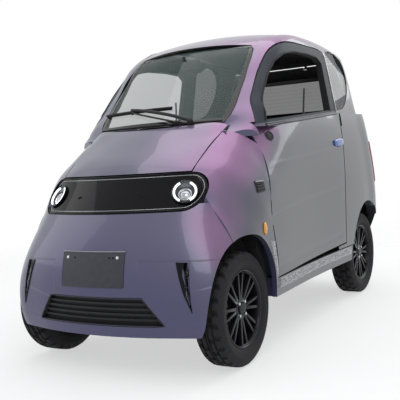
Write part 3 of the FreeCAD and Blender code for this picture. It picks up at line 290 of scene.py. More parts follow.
def make_glass(name, colour, cover, frit=None):
    """Tinted glass: a clear shader let through by alpha, solid black on its printed border."""
    kit = Finish(name, colour, 0.03, specular_ior_level=0.35)
    ripple = kit.noise(5.0, 1.0)
    alpha = cover + ripple * 0.02
    if frit:
        x, y, z = kit.place()
        border = frit(kit, x, y, z)
        kit.set("Base Color", kit.mix(border, colour, (0.004, 0.004, 0.005)))
        kit.set("Roughness", 0.03 + border * 0.12)
        alpha = (alpha + border).maths("MINIMUM", alpha + border, 1.0)
    kit.set("Alpha", alpha)
    return kit.relief(ripple, 0.0004, 0.2).material


def screen_border(kit, x, y, z):
    """The windscreen's printed border, broad along its foot and its head."""
    width = 0.377 - (z - 1.30) * (z - 1.30) * 0.32
    side = (abs(x) - width).above(0.0, 0.002)
    dots = kit.cells(110.0)
    fade = ((abs(x) - width + 0.012) * 60.0 - dots).above(0.0, 0.05)
    foot = (z - 1.158 + x * x * 0.03).below(0.0, 0.002)
    head = (z + x * x * 0.10).above(1.555, 0.002)
    return side.either(foot).either(head).either(fade * 0.8)


def hatch_border(kit, x, y, z):
    """The printed border of the tailgate's window, with thin heater lines across the middle."""
    side = (abs(x) + (z - 1.2) * 0.22).above(0.395, 0.002)
    foot = z.below(1.232, 0.002)
    head = z.above(1.442, 0.002)
    lines = ridge((z * 38.0).maths("PINGPONG", z * 38.0, 0.5), 0.03) * 0.15
    return side.either(foot).either(head).either(lines)


def make_tyre_rubber(name, colour):
    """Dull rubber with some dust on it."""
    kit = Finish(name, colour, 0.72, specular_ior_level=0.2)
    dust = kit.noise(28.0, 6.0)
    kit.set("Base Color", kit.mix(dust.above(0.55, 0.2) * 0.4, colour, (0.035, 0.034, 0.032)))
    kit.set("Roughness", 0.66 + dust * 0.2)
    return kit.relief(kit.noise(260.0, 3.0) + dust, 0.0005).material


def make_cloth(name, colour, threads=420.0):
    """Woven cloth: a fine crossed weave with worn, paler threads."""
    kit = Finish(name, colour, 0.85, sheen_weight=0.35)
    x, y, z = kit.place()
    warp = x * threads + z * 60.0
    weft = (y + z) * threads
    weave = warp.maths("SINE", warp) * weft.maths("SINE", weft)
    fade = kit.noise(18.0, 4.0)
    kit.set("Base Color", kit.mix(weave * 0.3 + fade * 0.35, colour, brighter(colour, 3.2, 0.01)))
    return kit.relief(weave + fade, 0.0007).material


def make_film(name, colour):
    """Thin protective film with small wrinkles."""
    kit = Finish(name, colour, 0.16, coat_weight=0.6)
    folds = kit.noise(46.0, 5.0, 0.6, (1, 0.35, 1.4))
    kit.set("Base Color", kit.mix(folds.above(0.56, 0.1) * 0.5, colour, (0.16, 0.42, 0.86)))
    return kit.relief(folds, 0.006, 0.9).material


def make_glinting_film(name):
    """Clear film left on the sill: mostly unseen, but for painted highlights along its creases, which are made
    pale and more opaque.
    """
    kit = Finish(name, (0.92, 0.93, 0.95), 0.12)
    folds = kit.noise(38.0, 5.0, 0.65, (1, 0.5, 1.5))
    # painted highlights: pale, more opaque lines along the creases
    kit.set("Alpha", 0.10 + ridge(folds - 0.5, 0.035) * 0.5)
    return kit.relief(folds, 0.006, 0.9).material


def make_light(name, colour, strength):
    """A lamp that glows by itself."""
    kit = Finish(name, colour, 0.25, emission_strength=strength)
    kit.set("Emission Color", kit.mix(kit.noise(90.0, 1.0) * 0.2, colour, brighter(colour, 0.8)))
    return kit.material


def make_lens(name, colour, cover, ribs):
    """Moulded lamp lens with ribs inside."""
    kit = Finish(name, colour, 0.08, coat_weight=0.5)
    height = kit.place()[2] * ribs
    wave = height.maths("SINE", height)
    kit.set("Base Color", kit.mix(wave * 0.25 + 0.3, colour, brighter(colour, 1.8, 0.02)))
    kit.set("Alpha", cover + wave * 0.02)
    return kit.relief(wave, 0.0012, 0.6).material


FINISHES = {}


def build_finishes(look):
    """Every material of the car, by the name that its pieces ask for."""
    FINISHES.update({
        "paint": make_paint(look, "body_paint"),
        "door_paint": make_paint(look, "door_paint", on_door=True),
        "trim": make_plastic("trim_black", (0.016, 0.016, 0.018)),
        "dash": make_plastic("dash_plastic", (0.028, 0.028, 0.031), 0.62, 420.0, 0.0006),
        "grey": make_plastic("frame_grey", tuple(look.frame_grey), 0.38, 900.0, 0.0002),
        "pale_trim": make_plastic("pale_trim", (0.30, 0.31, 0.33), 0.45),
        "gloss": make_gloss("gloss_black", (0.003, 0.003, 0.005), 0.05, specular_ior_level=0.14),
        "chrome": make_metal("bright_chrome", (0.55, 0.56, 0.58), 0.14, 30.0),
        "reflector": make_metal("lamp_reflector", (0.42, 0.43, 0.45), 0.16, 60.0),
        "alloy": make_gloss("alloy_black", (0.008, 0.008, 0.010), 0.18, 40.0, specular_ior_level=0.2),
        "steel": make_metal("black_steel", (0.05, 0.05, 0.055), 0.55, 120.0),
        "disc": make_metal("disc_steel", (0.40, 0.38, 0.36), 0.35, 220.0, (1, 0.2, 1)),
        "under": make_plastic("underbody", (0.022, 0.022, 0.024), 0.8, 180.0, 0.0012),
        "screen": make_glass("screen_glass", (0.05, 0.085, 0.08), look.glass_cover, screen_border),
        "hatch_glass": make_glass("hatch_glass", (0.03, 0.045, 0.045), 0.55, hatch_border),
        "side_glass": make_glass("side_glass", (0.03, 0.045, 0.045), 0.55),
        "lens": make_glass("clear_lens", (0.6, 0.65, 0.7), 0.10),
        "drl": make_light("running_light", (0.95, 0.98, 1.0), 1.2),
        "tail": make_lens("tail_red", (0.30, 0.008, 0.010), 0.93, 520.0),
        "amber": make_lens("amber_lens", (0.90, 0.30, 0.02), 0.97, 900.0),
        "plate": make_plastic("plate_holder", (0.045, 0.047, 0.058), 0.42, 1100.0, 0.0002),
        "film": make_film("blue_film", tuple(look.film_colour)),
        "glinting_film": make_glinting_film("glinting_film"),
        "rubber": make_plastic("seal_rubber", (0.010, 0.010, 0.011), 0.7, 500.0, 0.0003),
        "tyre": make_tyre_rubber("tyre_rubber", (0.017, 0.017, 0.019)),
        "cloth": make_cloth("seat_cloth", (0.035, 0.036, 0.041)),
        "screen_glow": make_gloss("dash_screen", (0.004, 0.005, 0.008), 0.08),
    })


# Mesh helpers

TREES = {}
MISS_DEPTH, MISS_REACH, DRAPE_FROM = 2.43, 0.30, 4.0


def tree_of(node):
    """Search tree of a CAD node's own mesh."""
    if node not in TREES:
        mesh = NODES[node].data
        corners = [v.co for v in mesh.vertices]
        TREES[node] = BVHTree.FromPolygons(corners, [tuple(p.vertices) for p in mesh.polygons])
    return TREES[node]


def touch(nodes, start, way):
    """Where a ray first meets some CAD nodes, or else the nearest point, and the surface's direction there."""
    start, way = Vector(start), Vector(way)
    best = None
    for node in nodes:
        spot, normal, _, reach = tree_of(node).ray_cast(start, way)
        if spot is not None and (best is None or reach < best[2]):
            best = (spot, normal, reach)
    if best is None:
        close = [tree_of(node).find_nearest(start + way * MISS_DEPTH) for node in nodes]
        spot, normal, _, reach = min(close, key=lambda found: found[3])
        if reach > MISS_REACH:
            raise RuntimeError("nothing of %s lies at %s along %s" % (nodes, tuple(start), tuple(way)))
        best = (spot, normal, reach)
    spot, normal, _ = best
    return spot, (normal if normal.dot(way) < 0 else -normal)


def drape(bm, nodes, way, lift=0.0):
    """Push each vertex along a direction until it lies a lift above the nodes."""
    way = Vector(way).normalized()
    for v in bm.verts:
        v.co = touch(nodes, v.co - way * DRAPE_FROM, way)[0] - way * lift


def smooth_by(mesh, angle):
    for polygon in mesh.polygons:
        polygon.use_smooth = True
    mesh.set_sharp_from_angle(angle=math.radians(angle))


def finished(name, bm, finish, body, angle=CREASED, replaces=()):
    """Turn a bmesh into a piece of the car that rides on a body."""
    bmesh.ops.recalc_face_normals(bm, faces=bm.faces[:])
    mesh = bpy.data.meshes.new(name)
    bm.to_mesh(mesh)
    bm.free()
    smooth_by(mesh, angle)
    mesh.materials.append(FINISHES[finish])
    piece = bpy.data.objects.new(name, mesh)
    bpy.context.scene.collection.objects.link(piece)
    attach(piece, body)
    if replaces:
        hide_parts(*replaces)


def moved(bm, shift):
    """Shift a whole bmesh."""
    bmesh.ops.translate(bm, vec=shift, verts=bm.verts[:])
    return bm


def turned(bm, matrix):
    """Put a whole bmesh through a matrix."""
    bmesh.ops.transform(bm, matrix=matrix, verts=bm.verts[:])
    return bm


def stretched(bm, spot, scale):
    """Scale a whole bmesh about a point."""
    return turned(bm, Matrix.Translation(spot) @ Matrix.Diagonal((*scale, 1)) @ Matrix.Translation(-spot))


def softened(bm, geom, offset, segments, affect="EDGES", clamp=False):
    """Round some edges or corners, and return the new faces."""
    return bmesh.ops.bevel(bm, geom=geom, offset=offset, offset_type="OFFSET", affect=affect, segments=segments,
                           profile=0.5, material=-1, clamp_overlap=clamp)["faces"]


def extruded(bm, faces, keep=False):
    """Extrude some faces, and return the new vertices."""
    made = bmesh.ops.extrude_face_region(bm, geom=faces, use_keep_orig=keep)["geom"]
    return [g for g in made if isinstance(g, bmesh.types.BMVert)]


def box(bm, centre, size, turn=None, soft=0.0, segments=2):
    """Box with softened edges, added to a bmesh."""
    spot = Matrix.Translation(centre) @ (turn.to_4x4() if turn is not None else Matrix.Identity(4))
    made = bmesh.ops.create_cube(bm, size=1.0, matrix=spot @ Matrix.Diagonal((*size, 1.0)))["verts"]
    if soft:
        softened(bm, list({e for v in made for e in v.link_edges}), soft, segments, clamp=True)


def lathe(bm, profile, steps, axis=LEFT, centre=ORIGIN):
    """Spin a closed or open line of (along, radius) points about an axis through a centre."""
    side = axis.orthogonal().normalized()
    verts = [bm.verts.new(centre + axis * a + side * r) for a, r in profile]
    edges = [bm.edges.new((verts[k], verts[k + 1])) for k in range(len(verts) - 1)]
    bmesh.ops.spin(bm, geom=verts + edges, cent=centre, axis=axis, angle=math.tau, steps=steps,
                   use_merge=True, use_duplicate=False)
    bmesh.ops.remove_doubles(bm, verts=bm.verts[:], dist=0.00025)


def spun(profile, steps, axis=LEFT, centre=ORIGIN):
    """A new bmesh with one lathed line in it."""
    bm = bmesh.new()
    lathe(bm, profile, steps, axis, centre)
    return bm


def along(points, count):
    """Points of a broken line, with each stretch cut into a count."""
    cut = [(a + (c - a) * t / count, b + (d - b) * t / count)
           for (a, b), (c, d) in zip(points, points[1:]) for t in range(count)]
    return cut + [points[-1]]


def bead(points, radius, closed=False, sides=3, smooth=True):
    """Round bead along a line of points, as a bmesh."""
    curve = bpy.data.curves.new("line", "CURVE")
    curve.dimensions = "3D"
    curve.bevel_depth = radius
    curve.bevel_resolution = sides
    curve.use_fill_caps = not closed
    spline = curve.splines.new("NURBS" if smooth else "POLY")
    spline.points.add(len(points) - 1)
    for p, q in zip(spline.points, points):
        p.co = (*q, 1.0)
    if smooth:
        spline.order_u = 3
        spline.use_endpoint_u = not closed
    spline.use_cyclic_u = closed
    spline.resolution_u = 4
    holder = bpy.data.objects.new("line", curve)
    bpy.context.scene.collection.objects.link(holder)
    bpy.context.view_layer.update()
    mesh = bpy.data.meshes.new_from_object(holder)
    bpy.data.objects.remove(holder)
    bm = bmesh.new()
    bm.from_mesh(mesh)
    bpy.data.meshes.remove(mesh)
    bmesh.ops.remove_doubles(bm, verts=bm.verts[:], dist=1e-6)
    return bm


def tube(name, points, radius, finish, body, closed=False, smooth=True):
    """A bead as a piece of its own."""
    finished(name, bead(points, radius, closed, smooth=smooth), finish, body, ROUND)


def joined(bm, other):
    """Add one bmesh to another."""
    mesh = bpy.data.meshes.new("part")
    other.to_mesh(mesh)
    other.free()
    bm.from_mesh(mesh)
    bpy.data.meshes.remove(mesh)


def mirrored(bm):
    """A copy of a bmesh on the other side of the car."""
    twin = bm.copy()
    bmesh.ops.scale(twin, vec=(-1, 1, 1), verts=twin.verts[:])
    bmesh.ops.reverse_faces(twin, faces=twin.faces[:])
    return twin


def both_sides(name, bm, finish, body, angle=CREASED, replaces=None):
    """A left piece and its right twin; %s in the names stands for the side."""
    twin = mirrored(bm)
    for side, shape in zip(SIDES, (bm, twin)):
        nodes = [n % side for n in replaces] if replaces else ()
        finished(name % side, shape, finish, body % side if "%s" in body else body, angle, nodes)


LEAST_CUT, SNUG = 0.004, 0.0006


def flat_plate(corners, way, nodes, lift, wall, cuts=10, soft=0.0):
    """Plate with the outline of some corners, laid on nodes along a direction, with a wall thickness."""
    bm = bmesh.new()
    bm.faces.new([bm.verts.new(c) for c in corners])
    if soft:
        softened(bm, bm.verts[:], soft, 4, "VERTICES")
    low = Vector([min(v.co[k] for v in bm.verts) for k in range(3)])
    high = Vector([max(v.co[k] for v in bm.verts) for k in range(3)])
    for k in range(3):
        normal = Vector([1.0 if j == k else 0.0 for j in range(3)])
        if high[k] - low[k] < LEAST_CUT or abs(normal.dot(way)) > 0.9:
            continue
        for n in range(1, cuts):
            bmesh.ops.bisect_plane(bm, geom=bm.verts[:] + bm.edges[:] + bm.faces[:],
                                   plane_co=low + (high - low) * (n / cuts), plane_no=normal)
    drape(bm, nodes, way, lift)
    bmesh.ops.translate(bm, vec=-way * wall, verts=extruded(bm, bm.faces[:], True))
    bmesh.ops.recalc_face_normals(bm, faces=bm.faces[:])
    return bm


def rectangle(a, b, c, d):
    """Corners of a rectangle from (a, b) to (c, d)."""
    return (a, b), (c, b), (c, d), (a, d)


def dress(node, finish):
    """Give a carried-over CAD node its material."""
    mesh = NODES[node].data
    mesh.materials.clear()
    mesh.materials.append(FINISHES[finish])


NOSE = ["front_bumper", "light_bar", "bonnet", "fender_left", "fender_right"]
FAR, AHEAD, BESIDE, BEHIND = 3.0, -1.3, 1.0, 1.4


def laid(nodes, start, way, lift):
    """Point a lift above the first surface that a ray meets."""
    spot, normal = touch(nodes, start, way)
    return spot + normal * lift


def nose_point(x, z, lift=0.0, nodes=NOSE):
    return laid(nodes, (x, -FAR, z), -FRONT, lift)


def screen_point(x, z, lift):
    return nose_point(x, z, lift, ["windscreen"])


def side_point(nodes, y, z, lift):
    return laid(nodes, (FAR, y, z), -LEFT, lift)


def side_plate(corners, nodes, lift, wall, cuts, soft=0.0):
    """Plate laid on the car's left side, with the outline of some (y, z) corners."""
    return flat_plate([Vector((BESIDE, y, z)) for y, z in corners], -LEFT, nodes, lift, wall, cuts, soft)


def front_plate(corners, nodes, lift, wall, cuts, soft=0.0):
    """Plate laid on the nose, with the outline of some (x, z) corners."""
    return flat_plate([Vector((x, AHEAD, z)) for x, z in corners], -FRONT, nodes, lift, wall, cuts, soft)


def rear_plate(corners, nodes, wall, cuts, soft):
    """Plate laid on the tail, with the outline of some (x, z) corners."""
    return flat_plate([Vector((x, BEHIND, z)) for x, z in corners], FRONT, nodes, SNUG, wall, cuts, soft)


def waist_at(y):
    return WAIST + WAIST_SLOPE * (y - DOOR_Y)


# Settings a user would change

def colour_setting(name, description, default):
    return bpy.props.FloatVectorProperty(name=name, description=description, subtype="COLOR", size=3, min=0,
                                         max=1, default=default)


def share_setting(name, description, default):
    return bpy.props.FloatProperty(name=name, description=description, subtype="FACTOR", min=0, max=1,
                                   default=default)


def length_setting(name, description, default):
    return bpy.props.FloatProperty(name=name, description=description, unit="LENGTH", default=default)


class MicrocarLook(bpy.types.PropertyGroup):
    """Colours of the paint, of its painted sheen and highlight, and of the trim."""

    # Front, upper and corner colours are painted light: colour-shift sheen ahead, light from above, a rose
    # highlight
    paint_side: colour_setting("Side paint", "Paint seen on the flanks", (0.085, 0.088, 0.098))
    front_sheen_paint: colour_setting("Front paint", "Paint seen on faces that look ahead", (0.052, 0.050, 0.130))
    lit_top_paint: colour_setting("Upper paint", "Paint seen on faces that look up", (0.130, 0.126, 0.185))
    rose_highlight: colour_setting("Corner paint", "Paint on faces that look up, ahead and left",
                               (0.30, 0.11, 0.28))
    paint_metal: share_setting("Metal in the paint", "Share of metallic reflection", 0.35)
    frame_grey: colour_setting("Window frame", "Satin colour of the window frames", (0.040, 0.046, 0.056))
    film_colour: colour_setting("Handle film", "Film on the door handles", (0.010, 0.10, 0.42))
    glass_cover: share_setting("Windscreen tint", "How much the windscreen hides", 0.34)


class MicrocarSizes(bpy.types.PropertyGroup):
    """Sizes of the fine pieces."""

    tyre_radius: length_setting("Tyre radius", "Outer radius of the tyres", 0.2645)
    tread_depth: length_setting("Tread depth", "Depth of the tread grooves", 0.0065)
    spoke_pairs: bpy.props.IntProperty(name="Spoke pairs", description="Pairs of spokes in a wheel", default=8,
                                       min=3, max=16)
    lamp_radius: length_setting("Headlamp radius", "Radius of a headlamp's opening", 0.0635)
    blade_width: length_setting("Wiper blade", "Width of the wiper blade", 0.013)
    seal_radius: length_setting("Window seal", "Half thickness of the window seals", 0.0055)
    shadow_share: share_setting("Floor shadow", "How much of the floor's shadow is seen", 0.42)
    camera_lens: bpy.props.FloatProperty(name="Lens", description="Focal length of the photograph's view",
                                         default=64.93)


class MICROCAR_OT_finishes(bpy.types.Operator):
    """Makes the materials and gives the CAD nodes theirs"""

    bl_idname = "microcar.finishes"
    bl_label = "Finishes"
    bl_options = {"REGISTER", "UNDO"}

    def execute(self, context):
        look = context.scene.microcar_look
        build_finishes(look)
        wheels = ["%s_%s" % (axle, side) for axle in AXLES for side in SIDES]
        groups = {
            "paint": ("front_bumper", "bonnet", "fender_left", "fender_right", "side_frame_left",
                      "side_frame_right", "rear_quarter_left", "rear_quarter_right", "roof_panel", "tailgate",
                      "rear_bumper", "sill_left", "sill_right"),
            "door_paint": ("door_left", "door_right"),
            "trim": ("lower_grille",),
            "gloss": ("light_bar",),
            "screen": ("windscreen",),
            "side_glass": ("quarter_glass_left", "quarter_glass_right"),
            "hatch_glass": ("tailgate_glass",),
            "under": ("floor_pan",),
            "steel": ("front_subframe", "rear_axle", "knuckle_left", "knuckle_right"),
            "tail": ("tail_lamps",),
            "film": ("door_handle_left", "door_handle_right"),
            "plate": ("number_plate",),
            "reflector": ("headlamp_left", "headlamp_right"),
            "dash": ("dashboard", "steering_wheel"),
            "cloth": ("seat_left", "seat_right", "rear_bench"),
            "tyre": ["tyre_" + wheel for wheel in wheels],
            "alloy": ["rim_" + wheel for wheel in wheels],
        }
        for finish, nodes in groups.items():
            for node in nodes:
                dress(node, finish)
        return {"FINISHED"}


TYRE_STEPS, TREAD_STEP = 112, 0.004
SHOULDER_PITCH, CENTRE_PITCH, STAGGER = 4, 5, 3
SIDEWALL = [(-0.056, 0.1795), (-0.062, 0.186), (-0.069, 0.198), (-0.0715, 0.214), (-0.0725, 0.2235),
            (-0.0715, 0.2245), (-0.0725, 0.2260), (-0.070, 0.2390), (-0.064, 0.2520), (-0.058, 0.2590)]
BEAD_SEAT = [(0.050, 0.1785), (-0.050, 0.1785)]


def tyre_mesh(sizes):
    """Tyre about X at the origin, with ribs, grooves and cross cuts in its tread."""
    r = sizes.tyre_radius
    deep = r - sizes.tread_depth
    tread = [(-0.050, r - 0.0012), (-0.036, r - 0.0004), (-0.0345, deep), (-0.0285, deep), (-0.027, r),
             (-0.0105, r), (-0.0090, deep), (-0.0030, deep), (-0.0015, r), (0.0015, r)]
    profile = SIDEWALL + tread
    profile += [(-a, b) for a, b in reversed(profile[:-1])]
    bm = spun(profile + BEAD_SEAT + profile[:1], TYRE_STEPS)
    cuts = []
    for face in bm.faces:
        c = face.calc_center_median()
        radius = math.hypot(c.y, c.z)
        turn = int((math.atan2(c.z, c.y) / math.tau + 1) * TYRE_STEPS + (STAGGER if c.x > 0 else 0) + 0.25)
        if radius > r - TREAD_STEP:
            if abs(c.x) > 0.0015 and turn % (SHOULDER_PITCH if abs(c.x) > 0.03 else CENTRE_PITCH) == 0:
                cuts.append(face)
        elif radius > 0.2500 and 0.050 < abs(c.x) < 0.063 and turn % SHOULDER_PITCH == 0:
            cuts.append(face)
    share = deep / r
    bmesh.ops.scale(bm, vec=(1, share, share), verts=extruded(bm, cuts))
    return bm


class MICROCAR_OT_tyres(bpy.types.Operator):
    """Four tyres with ribs, grooves and cross cuts"""

    bl_idname = "microcar.tyres"
    bl_label = "Tyres"
    bl_options = {"REGISTER", "UNDO"}

    def execute(self, context):
        sizes = context.scene.microcar_sizes
        for axle, y in AXLES.items():
            both_sides("tread_" + axle + "_%s", moved(tyre_mesh(sizes), (WHEEL_X, y, AXLE_Z)), "tyre",
                       "wheel_" + axle + "_%s", 40.0, ("tyre_" + axle + "_%s",))
        return {"FINISHED"}


BARREL = [(-0.0585, 0.1784), (-0.0585, 0.1720), (-0.050, 0.1660), (-0.030, 0.1560), (0.020, 0.1590),
          (0.040, 0.1640), (0.0500, 0.1665), (0.0535, 0.1700), (0.0560, 0.1708), (0.0588, 0.1740),
          (0.0590, 0.1784), (0.0500, 0.1786), (0.030, 0.1760), (-0.040, 0.1760), (-0.0585, 0.1784)]
HUB = [(0.006, 0.0285), (0.006, 0.050), (0.030, 0.0535), (0.0425, 0.0500), (0.0450, 0.0440), (0.0435, 0.0300),
       (0.0400, 0.0285), (0.006, 0.0285)]
CAP = [(0.020, 0.0001), (0.020, 0.0278), (0.044, 0.0278), (0.0480, 0.0255), (0.0495, 0.020), (0.0485, 0.016),
       (0.0495, 0.010), (0.0498, 0.0001)]
VALVE = [(0.044, 0.0001), (0.044, 0.0028), (0.058, 0.0026), (0.0585, 0.0001)]
DRUM = [(-0.032, 0.030), (-0.032, 0.094), (-0.026, 0.100), (0.002, 0.100), (0.006, 0.092), (0.006, 0.054),
        (0.006, 0.030)]
SHIELD = [(-0.024, 0.036), (-0.024, 0.148), (-0.030, 0.152), (-0.034, 0.150), (-0.028, 0.140), (-0.028, 0.036),
          (-0.024, 0.036)]
DISC = [(0.0, 0.040), (0.0, 0.1045), (0.0095, 0.1045), (0.0095, 0.066), (0.012, 0.060), (0.012, 0.040)]
SPOKE_FOOT, SPOKE_TIP, SPOKE_LEAN = 0.040, 0.1655, 0.0235
NUT_X, NUT_CIRCLE, NUTS, DRUM_FINS, DISC_X = 0.047, 0.0395, 4, 24, 0.5012
NUT_AND_COLLAR = ((0.0085, 0.011, 6, 0.0), (0.0105, 0.003, 20, -0.005))


def spoke(bm, turn, lean):
    """One tapered spoke, leaning out from the wheel's middle, turned about X."""
    made = bmesh.ops.create_cube(bm, size=1.0)["verts"]
    for v in made:
        outer = v.co.z > 0
        half = 0.0062 if outer else 0.0080
        face = (0.0520 if outer else 0.0435) if v.co.x > 0 else (0.030 if outer else 0.018)
        side = half if v.co.y > 0 else -half
        v.co = Vector((face, side + (lean if outer else lean * 0.22), SPOKE_TIP if outer else SPOKE_FOOT))
    edges = [e for e in {e for v in made for e in v.link_edges} if all(w.co.x > 0.03 for w in e.verts)]
    faces = softened(bm, edges, 0.0022, 2)
    verts = list({v for f in faces for v in f.verts} | {v for v in made if v.is_valid})
    bmesh.ops.rotate(bm, cent=ORIGIN, matrix=Matrix.Rotation(turn, 3, "X"), verts=verts)


def wheel_mesh(sizes):
    """Black alloy wheel about X at the origin: a lipped barrel, paired spokes and a hub."""
    bm = spun(BARREL, 96)
    lathe(bm, HUB, 64)
    for k in range(sizes.spoke_pairs):
        for lean in (-SPOKE_LEAN, SPOKE_LEAN):
            spoke(bm, math.tau * k / sizes.spoke_pairs, lean)
    return bm


def nuts_mesh():
    """Nuts of a wheel with their collars, about X at the origin."""
    bm = bmesh.new()
    for k in range(NUTS):
        centre = Matrix.Rotation(math.tau * (k + 0.5) / NUTS, 3, "X") @ Vector((NUT_X, 0, NUT_CIRCLE))
        face = Matrix.Rotation(math.radians(90), 4, "Y")
        for radius, length, sides, shift in NUT_AND_COLLAR:
            bmesh.ops.create_cone(bm, cap_ends=True, segments=sides, radius1=radius, radius2=radius * 0.9,
                                  depth=length, matrix=Matrix.Translation(centre + LEFT * shift) @ face)
    return bm


def drum_mesh():
    """Finned brake drum about X at the origin."""
    bm = spun(DRUM, 72)
    for k in range(DRUM_FINS):
        turn = Matrix.Rotation(math.tau * k / DRUM_FINS, 3, "X")
        box(bm, turn @ Vector((-0.012, 0, 0.1005)), (0.022, 0.004, 0.006), turn, 0.001, 1)
    return bm


class MICROCAR_OT_wheels(bpy.types.Operator):
    """Four alloy wheels with caps, nuts, valves, brake drums, discs and dust shields"""

    bl_idname = "microcar.wheels"
    bl_label = "Wheels"
    bl_options = {"REGISTER", "UNDO"}

    def execute(self, context):
        sizes = context.scene.microcar_sizes
        for axle, y in AXLES.items():
            body = "wheel_" + axle + "_%s"
            for name, bm, finish, nodes in (("alloy_", wheel_mesh(sizes), "alloy", ("rim_" + axle + "_%s",)),
                                            ("nuts_", nuts_mesh(), "chrome", None),
                                            ("cap_", spun(CAP, 48), "gloss", None)):
                moved(bm, (WHEEL_X, y, AXLE_Z))
                both_sides(name + axle + "_%s", bm, finish, body, CRISP, nodes)
            valve = moved(spun(VALVE, 12), (WHEEL_X, y + 0.02, AXLE_Z + 0.1600))
            both_sides("valve_" + axle + "_%s", valve, "rubber", body)
        drum = moved(drum_mesh(), (WHEEL_X, AXLES["rear"], AXLE_Z))
        both_sides("drum_%s", drum, "steel", "wheel_rear_%s")
        for axle, body in (("front", "knuckle_%s"), ("rear", "wheel_rear_%s")):
            shield = moved(spun(SHIELD, 72), (WHEEL_X, AXLES[axle], AXLE_Z))
            both_sides("dust_shield_" + axle + "_%s", shield, "under", body)
        disc = moved(spun(DISC, 90), (DISC_X, AXLES["front"], AXLE_Z))
        both_sides("disc_%s", disc, "disc", "knuckle_%s")
        return {"FINISHED"}


LAMP_SPOT = Vector((0.3740, -0.9839, 0.8210))
LAMP_WAY = Vector((0.3176, -0.7638, 0.5619)).normalized()
PROJECTOR_DROP = Vector((0, -0.010, 0))
PROJECTOR_RING = [(-0.040, 0.022), (-0.014, 0.031), (-0.011, 0.031), (-0.010, 0.0285), (-0.012, 0.0265),
                  (-0.040, 0.018)]
PROJECTOR_EYE = [(-0.024, 0.0262), (-0.018, 0.0245), (-0.012, 0.0200), (-0.008, 0.0135), (-0.0062, 0.006),
                 (-0.006, 0.0001)]


def in_lamp(bm):
    """Move a bmesh from the lamp's own frame, X to its right, Y to its top and Z outwards, to the left lamp."""
    top = (UP - LAMP_WAY * LAMP_WAY.z).normalized()
    turn = Matrix((top.cross(LAMP_WAY), top, LAMP_WAY)).transposed().to_4x4()
    return turned(bm, Matrix.Translation(LAMP_SPOT) @ turn)


def arc(radius, middle, reach, depth, count=15):
    """Points of an arc about the lamp's axis, in the lamp's frame."""
    angles = [middle + reach * (k / (count - 1) * 2 - 1) for k in range(count)]
    return [Vector((radius * math.cos(a), radius * math.sin(a), depth)) for a in angles]


class MICROCAR_OT_headlamps(bpy.types.Operator):
    """Headlamps: a dark bowl with two running-light arcs, a projector and a clear cover"""

    bl_idname = "microcar.headlamps"
    bl_label = "Headlamps"
    bl_options = {"REGISTER", "UNDO"}

    def execute(self, context):
        sizes = context.scene.microcar_sizes
        r = sizes.lamp_radius
        bowl = spun([(0.001, r), (0.003, r - 0.002), (0.0015, r - 0.004), (-0.010, r - 0.007),
                     (-0.016, r - 0.016), (-0.020, r - 0.018), (-0.030, r - 0.024), (-0.046, 0.026),
                     (-0.052, 0.020), (-0.052, 0.0001), (-0.070, 0.0001), (-0.070, 0.050), (-0.030, r),
                     (0.001, r)], 72, UP)
        both_sides("lamp_bowl_%s", in_lamp(bowl), "gloss", "shell", CRISP, ("headlamp_%s",))
        lights = bmesh.new()
        for middle in (0.0, math.pi):
            joined(lights, bead(arc(r - 0.0125, middle, math.radians(62), -0.0035), 0.0052))
        both_sides("running_light_%s", in_lamp(lights), "drl", "shell", ROUND)
        ring = spun(PROJECTOR_RING, 56, UP, PROJECTOR_DROP)
        both_sides("projector_ring_%s", in_lamp(ring), "chrome", "shell", CRISP)
        eye = spun(PROJECTOR_EYE, 48, UP, PROJECTOR_DROP)
        both_sides("projector_%s", in_lamp(eye), "reflector", "shell", DOMED)
        fins = bmesh.new()
        for k in range(5):
            box(fins, (0, 0.0275 + k * 0.0045, -0.012 - k * 0.0005), (0.052 - k * 0.006, 0.0012, 0.010), None,
                0.0004, 1)
        both_sides("lamp_fins_%s", in_lamp(fins), "reflector", "shell")
        cover = spun([(0.0010, r - 0.0045), (0.0030, r - 0.0110), (0.0045, r - 0.026), (0.0055, 0.020),
                      (0.0058, 0.0001)], 64, UP)
        both_sides("lamp_cover_%s", in_lamp(cover), "lens", "shell", DOMED)
        return {"FINISHED"}


BAR_END, BAR_HALF, BAR_RADIUS, BAR_Z = 0.86, 0.466, 0.0855, 0.8195
MOUTH = [(-0.352, 0.250), (0.0, 0.2505), (0.352, 0.250), (0.258, 0.370), (0.0, 0.3695), (-0.258, 0.370)]
MOUTH_MIDDLE_Z, MOUTH_GAP, SLAT_Y = 0.3, 0.004, -1.2190
CORNER_VENT = ((0.4060, 0.524), (0.4610, 0.521), (0.4810, 0.308), (0.4440, 0.395))
PLATE_BORDER = ([(-0.166, 0.424), (0.166, 0.424)], [(0.172, 0.430), (0.172, 0.564)],
                [(0.166, 0.570), (-0.166, 0.570)], [(-0.172, 0.564), (-0.172, 0.430)])
BOLT = [(0.004, 0.0001), (0.004, 0.0075), (0.0062, 0.0070), (0.0072, 0.0045), (0.0074, 0.0001)]


def bar_outline(grow):
    """Rounded outline of the light bar, seen from the front."""
    radius = BAR_RADIUS + grow
    reach = BAR_HALF - BAR_RADIUS
    angles = [-math.pi / 2 + math.pi * k / 12 for k in range(13)]
    end = [(reach + radius * math.cos(a) * BAR_END, BAR_Z + radius * math.sin(a)) for a in angles]
    edge = [(reach * (1 - t / 5), BAR_Z + radius) for t in range(1, 10)]
    half = end + edge
    return half + [(-x, 2 * BAR_Z - z) for x, z in half]


